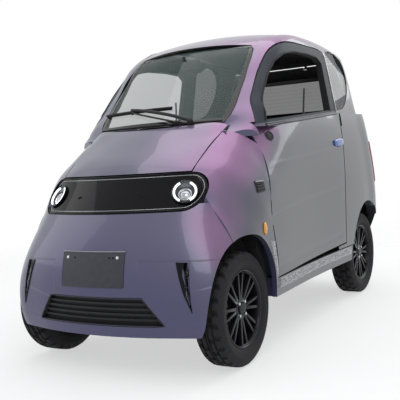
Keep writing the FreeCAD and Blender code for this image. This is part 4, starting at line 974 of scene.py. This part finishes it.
class MICROCAR_OT_nose(bpy.types.Operator):
    """Light bar edging, grille mouth, corner vents and plate holder"""

    bl_idname = "microcar.nose"
    bl_label = "Nose"
    bl_options = {"REGISTER", "UNDO"}

    def execute(self, context):
        bumper = ["front_bumper"]
        for name, grow, lift, radius, finish in (("bar_edging", -0.0050, 0.0010, 0.0032, "gloss"),
                                                 ("bar_line", -0.0150, 0.0, 0.0014, "reflector")):
            line = [nose_point(x, z, lift) for x, z in bar_outline(grow)]
            tube(name, line, radius, finish, "shell", True)
        rim = []
        for a, b in zip(MOUTH, MOUTH[1:] + MOUTH[:1]):
            above, under = min(a[1], b[1]) > MOUTH_MIDDLE_Z, max(a[1], b[1]) < MOUTH_MIDDLE_Z
            rise = MOUTH_GAP * (above - under)
            rim += [nose_point(x * 1.012, z + rise, -0.0030, bumper) for x, z in along([a, b], 8)[:8]]
        tube("mouth_seal", rim, 0.0042, "trim", "shell", True, smooth=False)
        slats = bmesh.new()
        for k in range(4):
            z = 0.274 + k * 0.024
            half = 0.340 - (z - 0.25) * 0.78
            points = [Vector((half * t / 6, 0, z)) for t in range(-6, 7)]
            for p in points:
                p.y = SLAT_Y + p.x * p.x / 2.8
            joined(slats, bead(points, 0.0036))
        finished("mouth_slats", slats, "gloss", "shell")
        vent = front_plate(CORNER_VENT, bumper, 0.0015, 0.003, 8)
        both_sides("corner_vent_%s", vent, "gloss", "shell")
        fins = bmesh.new()
        for k in range(4):
            z = 0.490 - k * 0.036
            left = 0.4385 + (0.519 - z) * 0.10
            a, b = (nose_point(left + reach, z, 0.007, bumper) for reach in (0.002, 0.019))
            joined(fins, bead([a, (a + b) / 2, b], 0.0022))
        both_sides("corner_fins_%s", fins, "trim", "shell")
        self.plate(bumper)
        return {"FINISHED"}

    def plate(self, bumper):
        """Blank plate holder with its raised edge, bolts, and dark blocks as painted shade over its square
        holes.
        """
        base = front_plate(rectangle(-0.175, 0.4175, 0.175, 0.5765), bumper, 0.0008, 0.0032, 12, 0.010)
        finished("plate_base", base, "plate", "shell", replaces=("number_plate",))
        border = [nose_point(x, z, 0.0030, bumper) for edge in PLATE_BORDER for x, z in along(edge, 8)]
        tube("plate_border", border, 0.0020, "plate", "shell", True)
        top = [nose_point(x / 40, 0.5740, 0.0032, bumper) for x in range(-7, 8)]
        tube("plate_top_edge", top, 0.0022, "pale_trim", "shell")
        bolts = bmesh.new()
        for x in (-0.140, 0.140):
            spot, normal = touch(bumper, (x, -FAR, 0.548), -FRONT)
            lathe(bolts, BOLT, 20, normal, spot)
        finished("plate_bolts", bolts, "chrome", "shell")
        # dark blocks where the square holes are: painted shade standing for the holes
        holes = bmesh.new()
        for x in (-0.098, 0.098, 0.118):
            box(holes, nose_point(x, 0.546, 0.0036, bumper), (0.009, 0.0022, 0.011), None, 0.0008, 1)
        finished("plate_hole_shade", holes, "gloss", "shell")


BLADE = [(-0.392, 1.2165), (-0.250, 1.2180), (-0.100, 1.2190), (0.084, 1.2180)]
ARM = ((0.2200, 1.1400, 0.020), (0.150, 1.160, 0.026), (0.020, 1.192, 0.026), (-0.110, 1.2180, 0.022),
       (-0.176, 1.2270, 0.017))
ARM_LINK = ((0.147, 1.1400, 0.016), (0.060, 1.160, 0.018), (-0.060, 1.188, 0.017), (-0.168, 1.2150, 0.014))
PIVOTS = ((0.2200, 1.1400, 0.0170, 0.030), (0.147, 1.1400, 0.0100, 0.022), (-0.172, 1.2210, 0.0120, 0.022))
SCUTTLE_HALF, SCUTTLE_Z = 0.372, 1.1400


class MICROCAR_OT_wiper(bpy.types.Operator):
    """Single large wiper with its arms, pivots and blade, and the scuttle seal"""

    bl_idname = "microcar.wiper"
    bl_label = "Wiper"
    bl_options = {"REGISTER", "UNDO"}

    def execute(self, context):
        sizes = context.scene.microcar_sizes
        rubber = bmesh.new()
        for rise, lift, radius in ((0.0, 0.0034, 0.0030), (0.004, 0.0105, sizes.blade_width * 0.55)):
            joined(rubber, bead([screen_point(x, z + rise, lift) for x, z in along(BLADE, 6)], radius))
        finished("wiper_blade", rubber, "rubber", "shell", ROUND)
        arms = bmesh.new()
        for line, radius in ((ARM, 0.0088), (ARM_LINK, 0.0048)):
            joined(arms, bead([screen_point(*point) for point in line], radius))
        for x, z, r, h in PIVOTS:
            spot, normal = touch(["windscreen"], (x, -FAR, z), -FRONT)
            dome = [(0.001, 0.0001), (0.001, r), (h * 0.8, r * 0.85), (h, r * 0.6), (h * 1.05, 0.0001)]
            lathe(arms, dome, 28, normal, spot)
        finished("wiper_arms", arms, "trim", "shell", 50.0)
        seal = [screen_point(-SCUTTLE_HALF + 2 * SCUTTLE_HALF * k / 16, SCUTTLE_Z, 0.0015) for k in range(17)]
        tube("scuttle_seal", seal, 0.0042, "rubber", "shell")
        return {"FINISHED"}


OPENING = [(0.155, 0.066), (0.198, 0.300), (0.297, 0.565), (0.380, 0.733), (0.465, 0.823), (0.576, 0.870),
           (0.740, 0.884), (0.870, 0.870), (0.920, 0.800), (0.905, 0.200)]


def opening_points():
    """Line just outside the door's window opening, (y, z)."""
    cy, cz = DOOR_Y + DOOR_RUN * 0.5, WAIST + WINDOW_RISE * 0.5
    points = []
    for a, b in OPENING:
        y, z = DOOR_Y + DOOR_RUN * a, WAIST + WINDOW_RISE * b
        reach = math.hypot(y - cy, z - cz)
        points.append((y + 0.006 * (y - cy) / reach, z + 0.006 * (z - cz) / reach))
    return points


HANDLE_Y, HANDLE_Z, HANDLE_HALF, HANDLE_TILT = 0.466, 0.996, 0.075, 2.5
HANDLE_CUP = [(0.0008, 0.0001), (0.0008, 0.030), (0.0030, 0.0330), (0.0040, 0.0350), (0.0008, 0.0380)]
MIRROR_PAD = [(0.0006, 0.0001), (0.0006, 0.0262), (0.0032, 0.0258), (0.0044, 0.0235), (0.0044, 0.0200),
              (0.0022, 0.0185), (0.0022, 0.0001)]
PAD_SCREW = [(0.002, 0.0001), (0.002, 0.0032), (0.0036, 0.0030), (0.0040, 0.0001)]
PAD_SCREWS, PAD_SCREW_CIRCLE = 3, 0.0125


class MICROCAR_OT_door_trim(bpy.types.Operator):
    """Window seals, waist moulding, handles and mirror pads"""

    bl_idname = "microcar.door_trim"
    bl_label = "Door trim"
    bl_options = {"REGISTER", "UNDO"}

    def execute(self, context):
        sizes = context.scene.microcar_sizes
        door = ["door_left"]
        line = [side_point(door, y, z, 0.0012) for y, z in along(opening_points(), 4)]
        both_sides("window_seal_%s", bead(line, sizes.seal_radius), "rubber", "door_%s", ROUND)
        top = [(y, waist_at(y) + 0.0015) for y in [-0.455 + 1.035 * k / 24 for k in range(25)]]
        moulding = bmesh.new()
        for rise, radius in ((0.0, 0.0062), (0.0085, 0.0048)):
            joined(moulding, bead([side_point(door, y, z - 0.012 + rise, 0.0012) for y, z in top], radius))
        both_sides("waist_moulding_%s", moulding, "grey", "door_%s", ROUND)
        self.handles(door)
        self.pads(door)
        return {"FINISHED"}

    def handles(self, door):
        """Pull handles, still in their blue film, over a dark cup."""
        spot, normal = touch(door, (FAR, HANDLE_Y, HANDLE_Z), -LEFT)
        cup = stretched(spun(HANDLE_CUP, 48, normal, spot), spot, (1, 1.55, 0.66))
        both_sides("handle_cup_%s", cup, "gloss", "door_%s")
        pull = bmesh.new()
        box(pull, ORIGIN, (0.0155, HANDLE_HALF * 2, 0.044), None, 0.0070, 4)
        long_edges = [e for e in pull.edges if abs(e.verts[0].co.y - e.verts[1].co.y) > 0.05]
        bmesh.ops.subdivide_edges(pull, edges=long_edges, cuts=9, use_grid_fill=True)
        for v in pull.verts:
            share = abs(v.co.y) / HANDLE_HALF
            v.co.z *= 1.0 - 0.30 * share ** 2.2
            v.co.x = v.co.x * (1.0 - 0.25 * share ** 2) - 0.004 * share ** 2
        tilt = Matrix.Rotation(math.radians(HANDLE_TILT), 4, "X")
        turned(pull, Matrix.Translation(spot + normal * 0.0080) @ tilt)
        both_sides("handle_pull_%s", pull, "film", "door_%s", ROUND, ("door_handle_%s",))

    def pads(self, door):
        """Round pads where the mirrors would stand."""
        spot, normal = touch(door, (FAR, -0.430, 1.052), -LEFT)
        pad = spun(MIRROR_PAD, 48, normal, spot)
        side = normal.orthogonal().normalized() * PAD_SCREW_CIRCLE
        for k in range(PAD_SCREWS):
            turn = Matrix.Rotation(math.tau * k / PAD_SCREWS, 3, normal)
            lathe(pad, PAD_SCREW, 12, normal, spot + turn @ side)
        both_sides("mirror_pad_%s", pad, "trim", "door_%s")


SIDE_VENT = ((-0.716, 0.786), (-0.648, 0.788), (-0.642, 0.838), (-0.706, 0.842))
SILL_FILM = ((-0.530, 0.300), (0.555, 0.304), (0.555, 0.350), (-0.530, 0.346))
WING_FILM = ((-0.572, 0.375), (-0.552, 0.375), (-0.592, 0.545), (-0.645, 0.545))
AMBER = [(0.0006, 0.0001), (0.0006, 0.0155), (0.0030, 0.0160), (0.0062, 0.0140), (0.0088, 0.0090),
         (0.0096, 0.0001)]
FILM_WALL, FILM_WAVES = 0.0004, 0.0016


class MICROCAR_OT_wing_trim(bpy.types.Operator):
    """Side vents, amber markers, pale sill beads as painted highlights, and clear film with painted glints"""

    bl_idname = "microcar.wing_trim"
    bl_label = "Wing trim"
    bl_options = {"REGISTER", "UNDO"}

    def execute(self, context):
        wing, sill = ["fender_left"], ["sill_left"]
        vent = side_plate(SIDE_VENT, wing, SNUG, 0.0050, 6, 0.006)
        both_sides("side_vent_%s", vent, "trim", "shell")
        slats = bmesh.new()
        for k in range(3):
            z = 0.796 + 0.0125 * k
            line = [side_point(wing, -0.707 + 0.012 * t, z + 0.0003 * t, 0.0062) for t in range(5)]
            joined(slats, bead(line, 0.0022))
        both_sides("side_vent_slats_%s", slats, "gloss", "shell")
        cap = bead([side_point(wing, -0.704 + 0.0115 * t, 0.8345, 0.0058) for t in range(6)], 0.0040)
        both_sides("side_vent_cap_%s", cap, "pale_trim", "shell", ROUND)
        spot, normal = touch(wing, (FAR, -0.701, 0.6155), -LEFT)
        amber = stretched(spun(AMBER, 40, normal, spot), spot, (1, 1.0, 1.9))
        both_sides("amber_marker_%s", amber, "amber", "shell", ROUND)
        # pale beads on the film's top and bottom edges: painted highlights standing for the bright lines along
        # the sill
        for name, z in (("upper", 0.345), ("lower", 0.306)):
            line = [side_point(sill, -0.535 + 1.09 * k / 20, z + 0.004 * k / 20, 0.0006) for k in range(21)]
            both_sides("sill_glint_" + name + "_%s", bead(line, 0.0034), "pale_trim", "shell",
                       ROUND)
        for name, corners, nodes, lift, cuts in (("sill", SILL_FILM, sill, 0.0042, 24),
                                                 ("wing", WING_FILM, wing, 0.0022, 12)):
            film = side_plate(corners, nodes, lift, FILM_WALL, cuts)
            self.crumple(film)
            both_sides(name + "_film_%s", film, "glinting_film", "shell", ROUND)
        return {"FINISHED"}

    def crumple(self, bm):
        """Small seeded waves in a film."""
        chance = random.Random(4)
        for v in bm.verts:
            v.co.x += FILM_WAVES * (chance.random() - 0.3)


PAD_SHRINK, PAD_VOXEL, BLOW_FRAMES, BLOW_LIMIT = 0.93, 0.008, 20, 0.020
SEAM_HALF, SEAM_DEPTH = 0.018, 0.007


def rounder(pad):
    """A live subdivision, the same in view and render."""
    finer = pad.modifiers.new("finer", "SUBSURF")
    finer.levels = finer.render_levels = 1


def frozen(pad):
    """The pad's mesh with its modifiers applied, which are then removed."""
    mesh = bpy.data.meshes.new_from_object(pad.evaluated_get(bpy.context.evaluated_depsgraph_get()))
    pad.modifiers.clear()
    return mesh


def blown_up(pad, mesh):
    """Blow the pad's mesh out by a short cloth simulation, within a limit."""
    rest = [v.co.copy() for v in mesh.vertices]
    cloth = pad.modifiers.new("cloth", "CLOTH")
    cloth.settings.use_pressure = True
    cloth.settings.uniform_pressure_force = 4.0
    cloth.settings.effector_weights.gravity = 0.0
    cloth.settings.quality = 4
    for step in range(1, BLOW_FRAMES + 1):
        bpy.context.scene.frame_set(step)
    blown = frozen(pad)
    bpy.context.scene.frame_set(1)
    for v, w, r in zip(mesh.vertices, blown.vertices, rest):
        shift = w.co - r
        if shift.length > BLOW_LIMIT:
            shift *= BLOW_LIMIT / shift.length
        v.co = r + shift


def padded_block(name, size, centre, lean, seams, soft):
    """Stuffed cushion: a rounded block, blown out and then seamed."""
    bm = bmesh.new()
    box(bm, ORIGIN, tuple(s * PAD_SHRINK for s in size), None, soft, 4)
    mesh = bpy.data.meshes.new(name)
    bm.to_mesh(mesh)
    bm.free()
    pad = bpy.data.objects.new(name, mesh)
    bpy.context.scene.collection.objects.link(pad)
    bpy.context.view_layer.objects.active = pad
    remesh = pad.modifiers.new("even", "REMESH")
    remesh.mode = "VOXEL"
    remesh.voxel_size = PAD_VOXEL
    bpy.context.view_layer.update()
    even = pad.data = frozen(pad)
    blown_up(pad, even)
    half = Vector(size) / 2
    for v in even.vertices:
        p = v.co
        for k, step in seams:
            reach = abs(((p[k] / step + 0.5) % 1.0) - 0.5) * step
            if reach < SEAM_HALF and p.z > 0:
                p.z -= SEAM_DEPTH * (1 - reach / SEAM_HALF) ** 2
        for k in range(3):
            p[k] = max(-half[k], min(half[k], p[k]))
        v.co = p
    even.transform(Matrix.Translation(centre) @ Matrix.Rotation(lean, 4, "X"))
    rounder(pad)
    smooth_by(even, 180.0)
    even.materials.clear()
    even.materials.append(FINISHES["cloth"])
    return pad


def padded_copy(pad, name, shift):
    """A second cushion of the same shape."""
    twin = bpy.data.objects.new(name, pad.data.copy())
    bpy.context.scene.collection.objects.link(twin)
    twin.data.transform(Matrix.Translation(shift))
    rounder(twin)
    return twin


CUSHION_SIZE, BACKREST_SIZE = (0.392, 0.425, 0.128), (0.388, 0.520, 0.104)
BENCH_SIZE, BENCH_BACK_SIZE = (0.500, 0.420, 0.108), (0.500, 0.420, 0.100)
BACKREST_Y, BENCH_BACK_Y, UPRIGHT = 0.175, 1.044, math.radians(-90)


class MICROCAR_OT_seats(bpy.types.Operator):
    """Padded front seats and rear bench in woven cloth"""

    bl_idname = "microcar.seats"
    bl_label = "Seats"
    bl_options = {"REGISTER", "UNDO"}

    def execute(self, context):
        cushion = padded_block("cushion_left", CUSHION_SIZE, (SEAT_X, 0.008, 0.466), 0.0,
                               ((0, 0.13), (1, 0.14)), 0.045)
        back = padded_block("backrest_left", BACKREST_SIZE, (SEAT_X, BACKREST_Y, 0.790), UPRIGHT,
                            ((0, 0.13), (1, 0.17)), 0.040)
        self.flip(back, BACKREST_Y)
        right = Vector((-2 * SEAT_X, 0, 0))
        pieces = [(cushion, "seat_left"), (back, None),
                  (padded_copy(cushion, "cushion_right", right), "seat_right"),
                  (padded_copy(back, "backrest_right", right), None)]
        bench = padded_block("bench_cushion", BENCH_SIZE, (0, 0.775, 0.545), 0.0, ((0, 0.25), (1, 0.14)), 0.035)
        bench_back = padded_block("bench_back", BENCH_BACK_SIZE, (0, BENCH_BACK_Y, 0.770), UPRIGHT,
                                  ((0, 0.25),), 0.035)
        self.flip(bench_back, BENCH_BACK_Y)
        pieces += [(bench, "rear_bench"), (bench_back, None)]
        for pad, node in pieces:
            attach(pad, "shell")
            if node:
                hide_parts(node)
        rests, frames = bmesh.new(), bmesh.new()
        for x in (SEAT_X, -SEAT_X):
            box(rests, (x, 0.180, 0.998), (0.21, 0.080, 0.110), None, 0.030, 4)
            box(frames, (x, 0.015, 0.375), (0.34, 0.36, 0.050), None, 0.008)
            for k in (-1, 1):
                box(frames, (x + 0.15 * k, 0.0, 0.3040), (0.030, 0.40, 0.080), None, 0.006)
        finished("headrests", rests, "cloth", "shell", ROUND)
        finished("seat_frames", frames, "steel", "shell")
        return {"FINISHED"}

    def flip(self, pad, y):
        """Turn a back's seamed side to the front."""
        pad.data.transform(Matrix.Translation((0, y, 0)) @ Matrix.Diagonal((1, -1, 1, 1))
                           @ Matrix.Translation((0, -y, 0)))
        pad.data.flip_normals()


DASH_LINE = ((-0.528, 0.722), (-0.420, 0.730), (-0.364, 0.765), (-0.362, 0.830), (-0.392, 0.900),
             (-0.362, 0.950), (-0.366, 0.998), (-0.402, 1.036), (-0.470, 1.044), (-0.528, 1.040))
DASH_HALF = 0.444
BELT = ((0.452, 0.330, 1.330), (0.440, 0.300, 1.100), (0.448, 0.262, 0.800), (0.455, 0.230, 0.520))
HELM, HELM_TILT, HELM_RADIUS = (SEAT_X, -0.235, 0.985), -62, 0.172
BOSS = [(-0.012, 0.0001), (-0.012, 0.048), (0.006, 0.050), (0.012, 0.040), (0.0135, 0.0001)]
COLUMN = [(-0.186, 0.0001), (-0.186, 0.0125), (-0.060, 0.0125), (-0.050, 0.020), (-0.012, 0.022)]


class MICROCAR_OT_cabin(bpy.types.Operator):
    """Dashboard, steering wheel, screens, vents, rear-view mirror and belts"""

    bl_idname = "microcar.cabin"
    bl_label = "Cabin"
    bl_options = {"REGISTER", "UNDO"}

    def execute(self, context):
        dash = bmesh.new()
        face = dash.faces.new([dash.verts.new((-DASH_HALF, y, z)) for y, z in DASH_LINE])
        bmesh.ops.translate(dash, vec=(DASH_HALF * 2, 0, 0), verts=extruded(dash, [face], True))
        bmesh.ops.recalc_face_normals(dash, faces=dash.faces[:])
        softened(dash, [e for e in dash.edges if abs(e.verts[0].co.x - e.verts[1].co.x) > 0.5], 0.014, 4)
        finished("dash_body", dash, "dash", "shell", 40.0, ("dashboard",))
        hood = bmesh.new()
        box(hood, (SEAT_X, -0.400, 1.020), (0.30, 0.080, 0.046), None, 0.016, 3)
        box(hood, (0.0, -0.366, 0.960), (0.21, 0.016, 0.130), None, 0.006, 3)
        finished("dash_pods", hood, "dash", "shell")
        glass = bmesh.new()
        box(glass, (SEAT_X, -0.3595, 1.018), (0.24, 0.003, 0.034), None, 0.001, 1)
        box(glass, (0.0, -0.3570, 0.960), (0.19, 0.003, 0.112), None, 0.001, 1)
        finished("dash_screens", glass, "screen_glow", "shell")
        vents = bmesh.new()
        for x in (-0.38, -0.16, 0.38):
            box(vents, (x, -0.363, 0.985), (0.095, 0.012, 0.046), None, 0.004)
            for k in range(4):
                box(vents, (x, -0.3560, 0.970 + 0.010 * k), (0.082, 0.003, 0.002), None, 0.0006, 1)
        finished("dash_vents", vents, "trim", "shell")
        self.helm()
        mirror = bmesh.new()
        box(mirror, (0.0, -0.285, 1.470), (0.200, 0.018, 0.056), None, 0.008, 3)
        box(mirror, (0.0, -0.286, 1.505), (0.016, 0.014, 0.040), None, 0.004)
        finished("cabin_mirror", mirror, "trim", "shell")
        belts = bmesh.new()
        for sign in (1, -1):
            joined(belts, bead([Vector((sign * x, y, z)) for x, y, z in BELT], 0.0060, sides=1))
        finished("seat_belts", belts, "cloth", "shell")
        return {"FINISHED"}

    def helm(self):
        """Steering wheel with a padded rim, three spokes, a plain boss and its column."""
        wheel = bmesh.new()
        angles = [math.tau * k / 40 for k in range(40)]
        rim = [Vector((HELM_RADIUS * math.cos(a), HELM_RADIUS * math.sin(a), 0.0)) for a in angles]
        joined(wheel, bead(rim, 0.0125, True, 4))
        lathe(wheel, BOSS, 40, UP)
        for a, width in ((0.0, 0.030), (math.pi, 0.030), (-math.pi / 2, 0.034)):
            turn = Matrix.Rotation(a, 3, "Z")
            box(wheel, turn @ Vector((0.105, 0, -0.003)), (0.130, width, 0.012), turn, 0.004, 2)
        lathe(wheel, COLUMN, 24, UP)
        turned(wheel, Matrix.Translation(HELM) @ Matrix.Rotation(math.radians(HELM_TILT), 4, "X"))
        finished("wheel_rim_and_boss", wheel, "dash", "steering_wheel", 45.0, ("steering_wheel",))


class MICROCAR_OT_tail(bpy.types.Operator):
    """Blank plate, lid handle, third brake lamp, reflectors and valance"""

    bl_idname = "microcar.tail"
    bl_label = "Tail"
    bl_options = {"REGISTER", "UNDO"}

    def execute(self, context):
        gate, bumper = ["tailgate"], ["rear_bumper"]
        for name, corners, wall, cuts, soft, finish, slot in (
                ("rear_plate", (-0.19, 0.700, 0.19, 0.832), 0.0030, 10, 0.014, "plate", "plate"),
                ("lid_handle", (-0.13, 0.868, 0.13, 0.894), 0.0110, 10, 0.010, "gloss", "trim_black"),
                ("high_brake_lamp", (-0.14, 1.493, 0.14, 1.509), 0.0050, 8, 0.006, "tail", "tail_red")):
            plate = rear_plate(rectangle(*corners), gate, wall, cuts, soft)
            finished(name, plate, finish, "tailgate")
        reflector = rear_plate(rectangle(0.30, 0.318, 0.43, 0.346), bumper, 0.0040, 6, 0.006)
        both_sides("reflector_%s", reflector, "tail", "shell")
        valance = ((-0.40, 0.204), (0.40, 0.204), (0.36, 0.290), (-0.36, 0.290))
        finished("rear_valance", rear_plate(valance, bumper, 0.0022, 12, 0.012), "trim", "shell")
        return {"FINISHED"}


FLOOR_HALF, SHADOW_REACH, SHADOW_FADE = 60.0, 3.4, 1.9
WHITE, SKY, SKY_STRENGTH = (1.0, 1.0, 1.0), (0.93, 0.96, 1.0), 0.50
LAMP_TARGET = Vector((0, 0, 0.7))
LAMPS = (("key", (3.2, -4.2, 4.6), 3.4, 95.0), ("fill", (-4.6, -2.6, 3.0), 3.6, 35.0),
         ("top", (0.0, 0.4, 5.2), 4.5, 110.0), ("back", (2.4, 4.6, 3.4), 3.0, 60.0))
CAMERA_SPOT, CAMERA_TURN = (2.0666, -3.7533, 0.9850), (30.892, 3.569, -3.840)
PHOTO_SIZE, PHOTO_CENTRE = 400.0, (192.132, 199.181)


class MICROCAR_OT_stage(bpy.types.Operator):
    """Pale floor, soft studio light and the camera of the photograph"""

    bl_idname = "microcar.stage"
    bl_label = "Stage"
    bl_options = {"REGISTER", "UNDO"}

    def execute(self, context):
        sizes = context.scene.microcar_sizes
        scene = context.scene
        self.floor(scene, sizes)
        self.world(scene)
        for name, spot, size, power in LAMPS:
            lamp = bpy.data.lights.new(name, "AREA")
            lamp.size = size
            lamp.energy = power
            holder = bpy.data.objects.new(name, lamp)
            holder.location = spot
            holder.rotation_mode = "QUATERNION"
            holder.rotation_quaternion = (LAMP_TARGET - Vector(spot)).to_track_quat("-Z", "Y")
            scene.collection.objects.link(holder)
        self.camera(scene, sizes)
        scene.view_settings.view_transform = "Standard"
        return {"FINISHED"}

    def floor(self, scene, sizes):
        """Pale floor that fades away from the car, so that little but its shadow is seen."""
        bm = bmesh.new()
        bmesh.ops.create_grid(bm, x_segments=1, y_segments=1, size=FLOOR_HALF)
        mesh = bpy.data.meshes.new("floor")
        bm.to_mesh(mesh)
        bm.free()
        floor = bpy.data.objects.new("floor", mesh)
        scene.collection.objects.link(floor)
        kit = Finish("pale_floor", (0.86, 0.86, 0.86), 0.7)
        kit.set("Base Color", kit.mix(kit.noise(3.0, 4.0), (0.95, 0.95, 0.95), WHITE))
        kit.relief(kit.noise(90.0, 3.0), 0.0004, 0.2)
        x, y, _ = kit.place()
        reach = (x * x + y * y) ** 0.5
        kit.set("Alpha", reach.below(SHADOW_REACH, SHADOW_FADE) * sizes.shadow_share)
        mesh.materials.append(kit.material)

    def world(self, scene):
        """White behind the car for the camera and in reflections, and a soft grey light for the rest."""
        world = bpy.data.worlds.new("studio")
        world.use_nodes = True
        tree = world.node_tree
        tree.nodes.clear()
        out = tree.nodes.new("ShaderNodeOutputWorld")
        rays = tree.nodes.new("ShaderNodeLightPath")
        mix = tree.nodes.new("ShaderNodeMixShader")
        for socket, colour, strength in ((1, SKY, SKY_STRENGTH), (2, WHITE, 1.0)):
            shade = tree.nodes.new("ShaderNodeBackground")
            shade.inputs["Color"].default_value = (*colour, 1.0)
            shade.inputs["Strength"].default_value = strength
            tree.links.new(shade.outputs[0], mix.inputs[socket])
        seen = rays.outputs["Is Camera Ray"]
        for ray in ("Is Transmission Ray", "Is Glossy Ray"):
            either = tree.nodes.new("ShaderNodeMath")
            either.operation = "MAXIMUM"
            tree.links.new(seen, either.inputs[0])
            tree.links.new(rays.outputs[ray], either.inputs[1])
            seen = either.outputs[0]
        tree.links.new(seen, mix.inputs[0])
        tree.links.new(mix.outputs[0], out.inputs["Surface"])
        scene.world = world

    def camera(self, scene, sizes):
        """Camera where the photograph was taken from."""
        yaw, pitch, roll = (math.radians(a) for a in CAMERA_TURN)
        back = Vector((math.sin(yaw) * math.cos(pitch), -math.cos(yaw) * math.cos(pitch), math.sin(pitch)))
        right = Vector((math.cos(yaw), math.sin(yaw), 0.0))
        up = back.cross(right)
        across = right * math.cos(roll) + up * math.sin(roll)
        over = up * math.cos(roll) - right * math.sin(roll)
        data = bpy.data.cameras.new("photo_view")
        data.sensor_width = 36.0
        data.lens = sizes.camera_lens
        data.shift_x = (PHOTO_SIZE / 2 - PHOTO_CENTRE[0]) / PHOTO_SIZE
        data.shift_y = (PHOTO_CENTRE[1] - PHOTO_SIZE / 2) / PHOTO_SIZE
        data.clip_end = 200.0
        camera = bpy.data.objects.new("photo_view", data)
        scene.collection.objects.link(camera)
        turn = Matrix((across, over, back)).transposed().to_4x4()
        camera.matrix_world = Matrix.Translation(CAMERA_SPOT) @ turn
        scene.camera = camera


class MICROCAR_PT_panel(bpy.types.Panel):
    """Sidebar panel with the car's settings and steps"""

    bl_idname = "MICROCAR_PT_panel"
    bl_label = "Microcar"
    bl_space_type = "VIEW_3D"
    bl_region_type = "UI"
    bl_category = "Microcar"

    def draw(self, context):
        layout = self.layout
        for group in (context.scene.microcar_look, context.scene.microcar_sizes):
            card = layout.box()
            for key in group.__annotations__:
                card.prop(group, key)
        for step in STEPS:
            layout.operator(step.bl_idname)


STEPS = (MICROCAR_OT_finishes, MICROCAR_OT_stage, MICROCAR_OT_tyres, MICROCAR_OT_wheels, MICROCAR_OT_headlamps,
         MICROCAR_OT_nose, MICROCAR_OT_wiper, MICROCAR_OT_door_trim, MICROCAR_OT_wing_trim, MICROCAR_OT_seats,
         MICROCAR_OT_cabin, MICROCAR_OT_tail)
CLASSES = (MicrocarLook, MicrocarSizes) + STEPS + (MICROCAR_PT_panel,)


def register():
    for one in CLASSES:
        bpy.utils.register_class(one)
    bpy.types.Scene.microcar_look = bpy.props.PointerProperty(type=MicrocarLook)
    bpy.types.Scene.microcar_sizes = bpy.props.PointerProperty(type=MicrocarSizes)


def unregister():
    del bpy.types.Scene.microcar_sizes
    del bpy.types.Scene.microcar_look
    for one in reversed(CLASSES):
        bpy.utils.unregister_class(one)


def main():
    register()
    bpy.ops.microcar.finishes()
    bpy.ops.microcar.stage()
    bpy.ops.microcar.tyres()
    bpy.ops.microcar.wheels()
    bpy.ops.microcar.headlamps()
    bpy.ops.microcar.nose()
    bpy.ops.microcar.wiper()
    bpy.ops.microcar.door_trim()
    bpy.ops.microcar.wing_trim()
    bpy.ops.microcar.seats()
    bpy.ops.microcar.cabin()
    bpy.ops.microcar.tail()


if __name__ == "__main__":
    main()
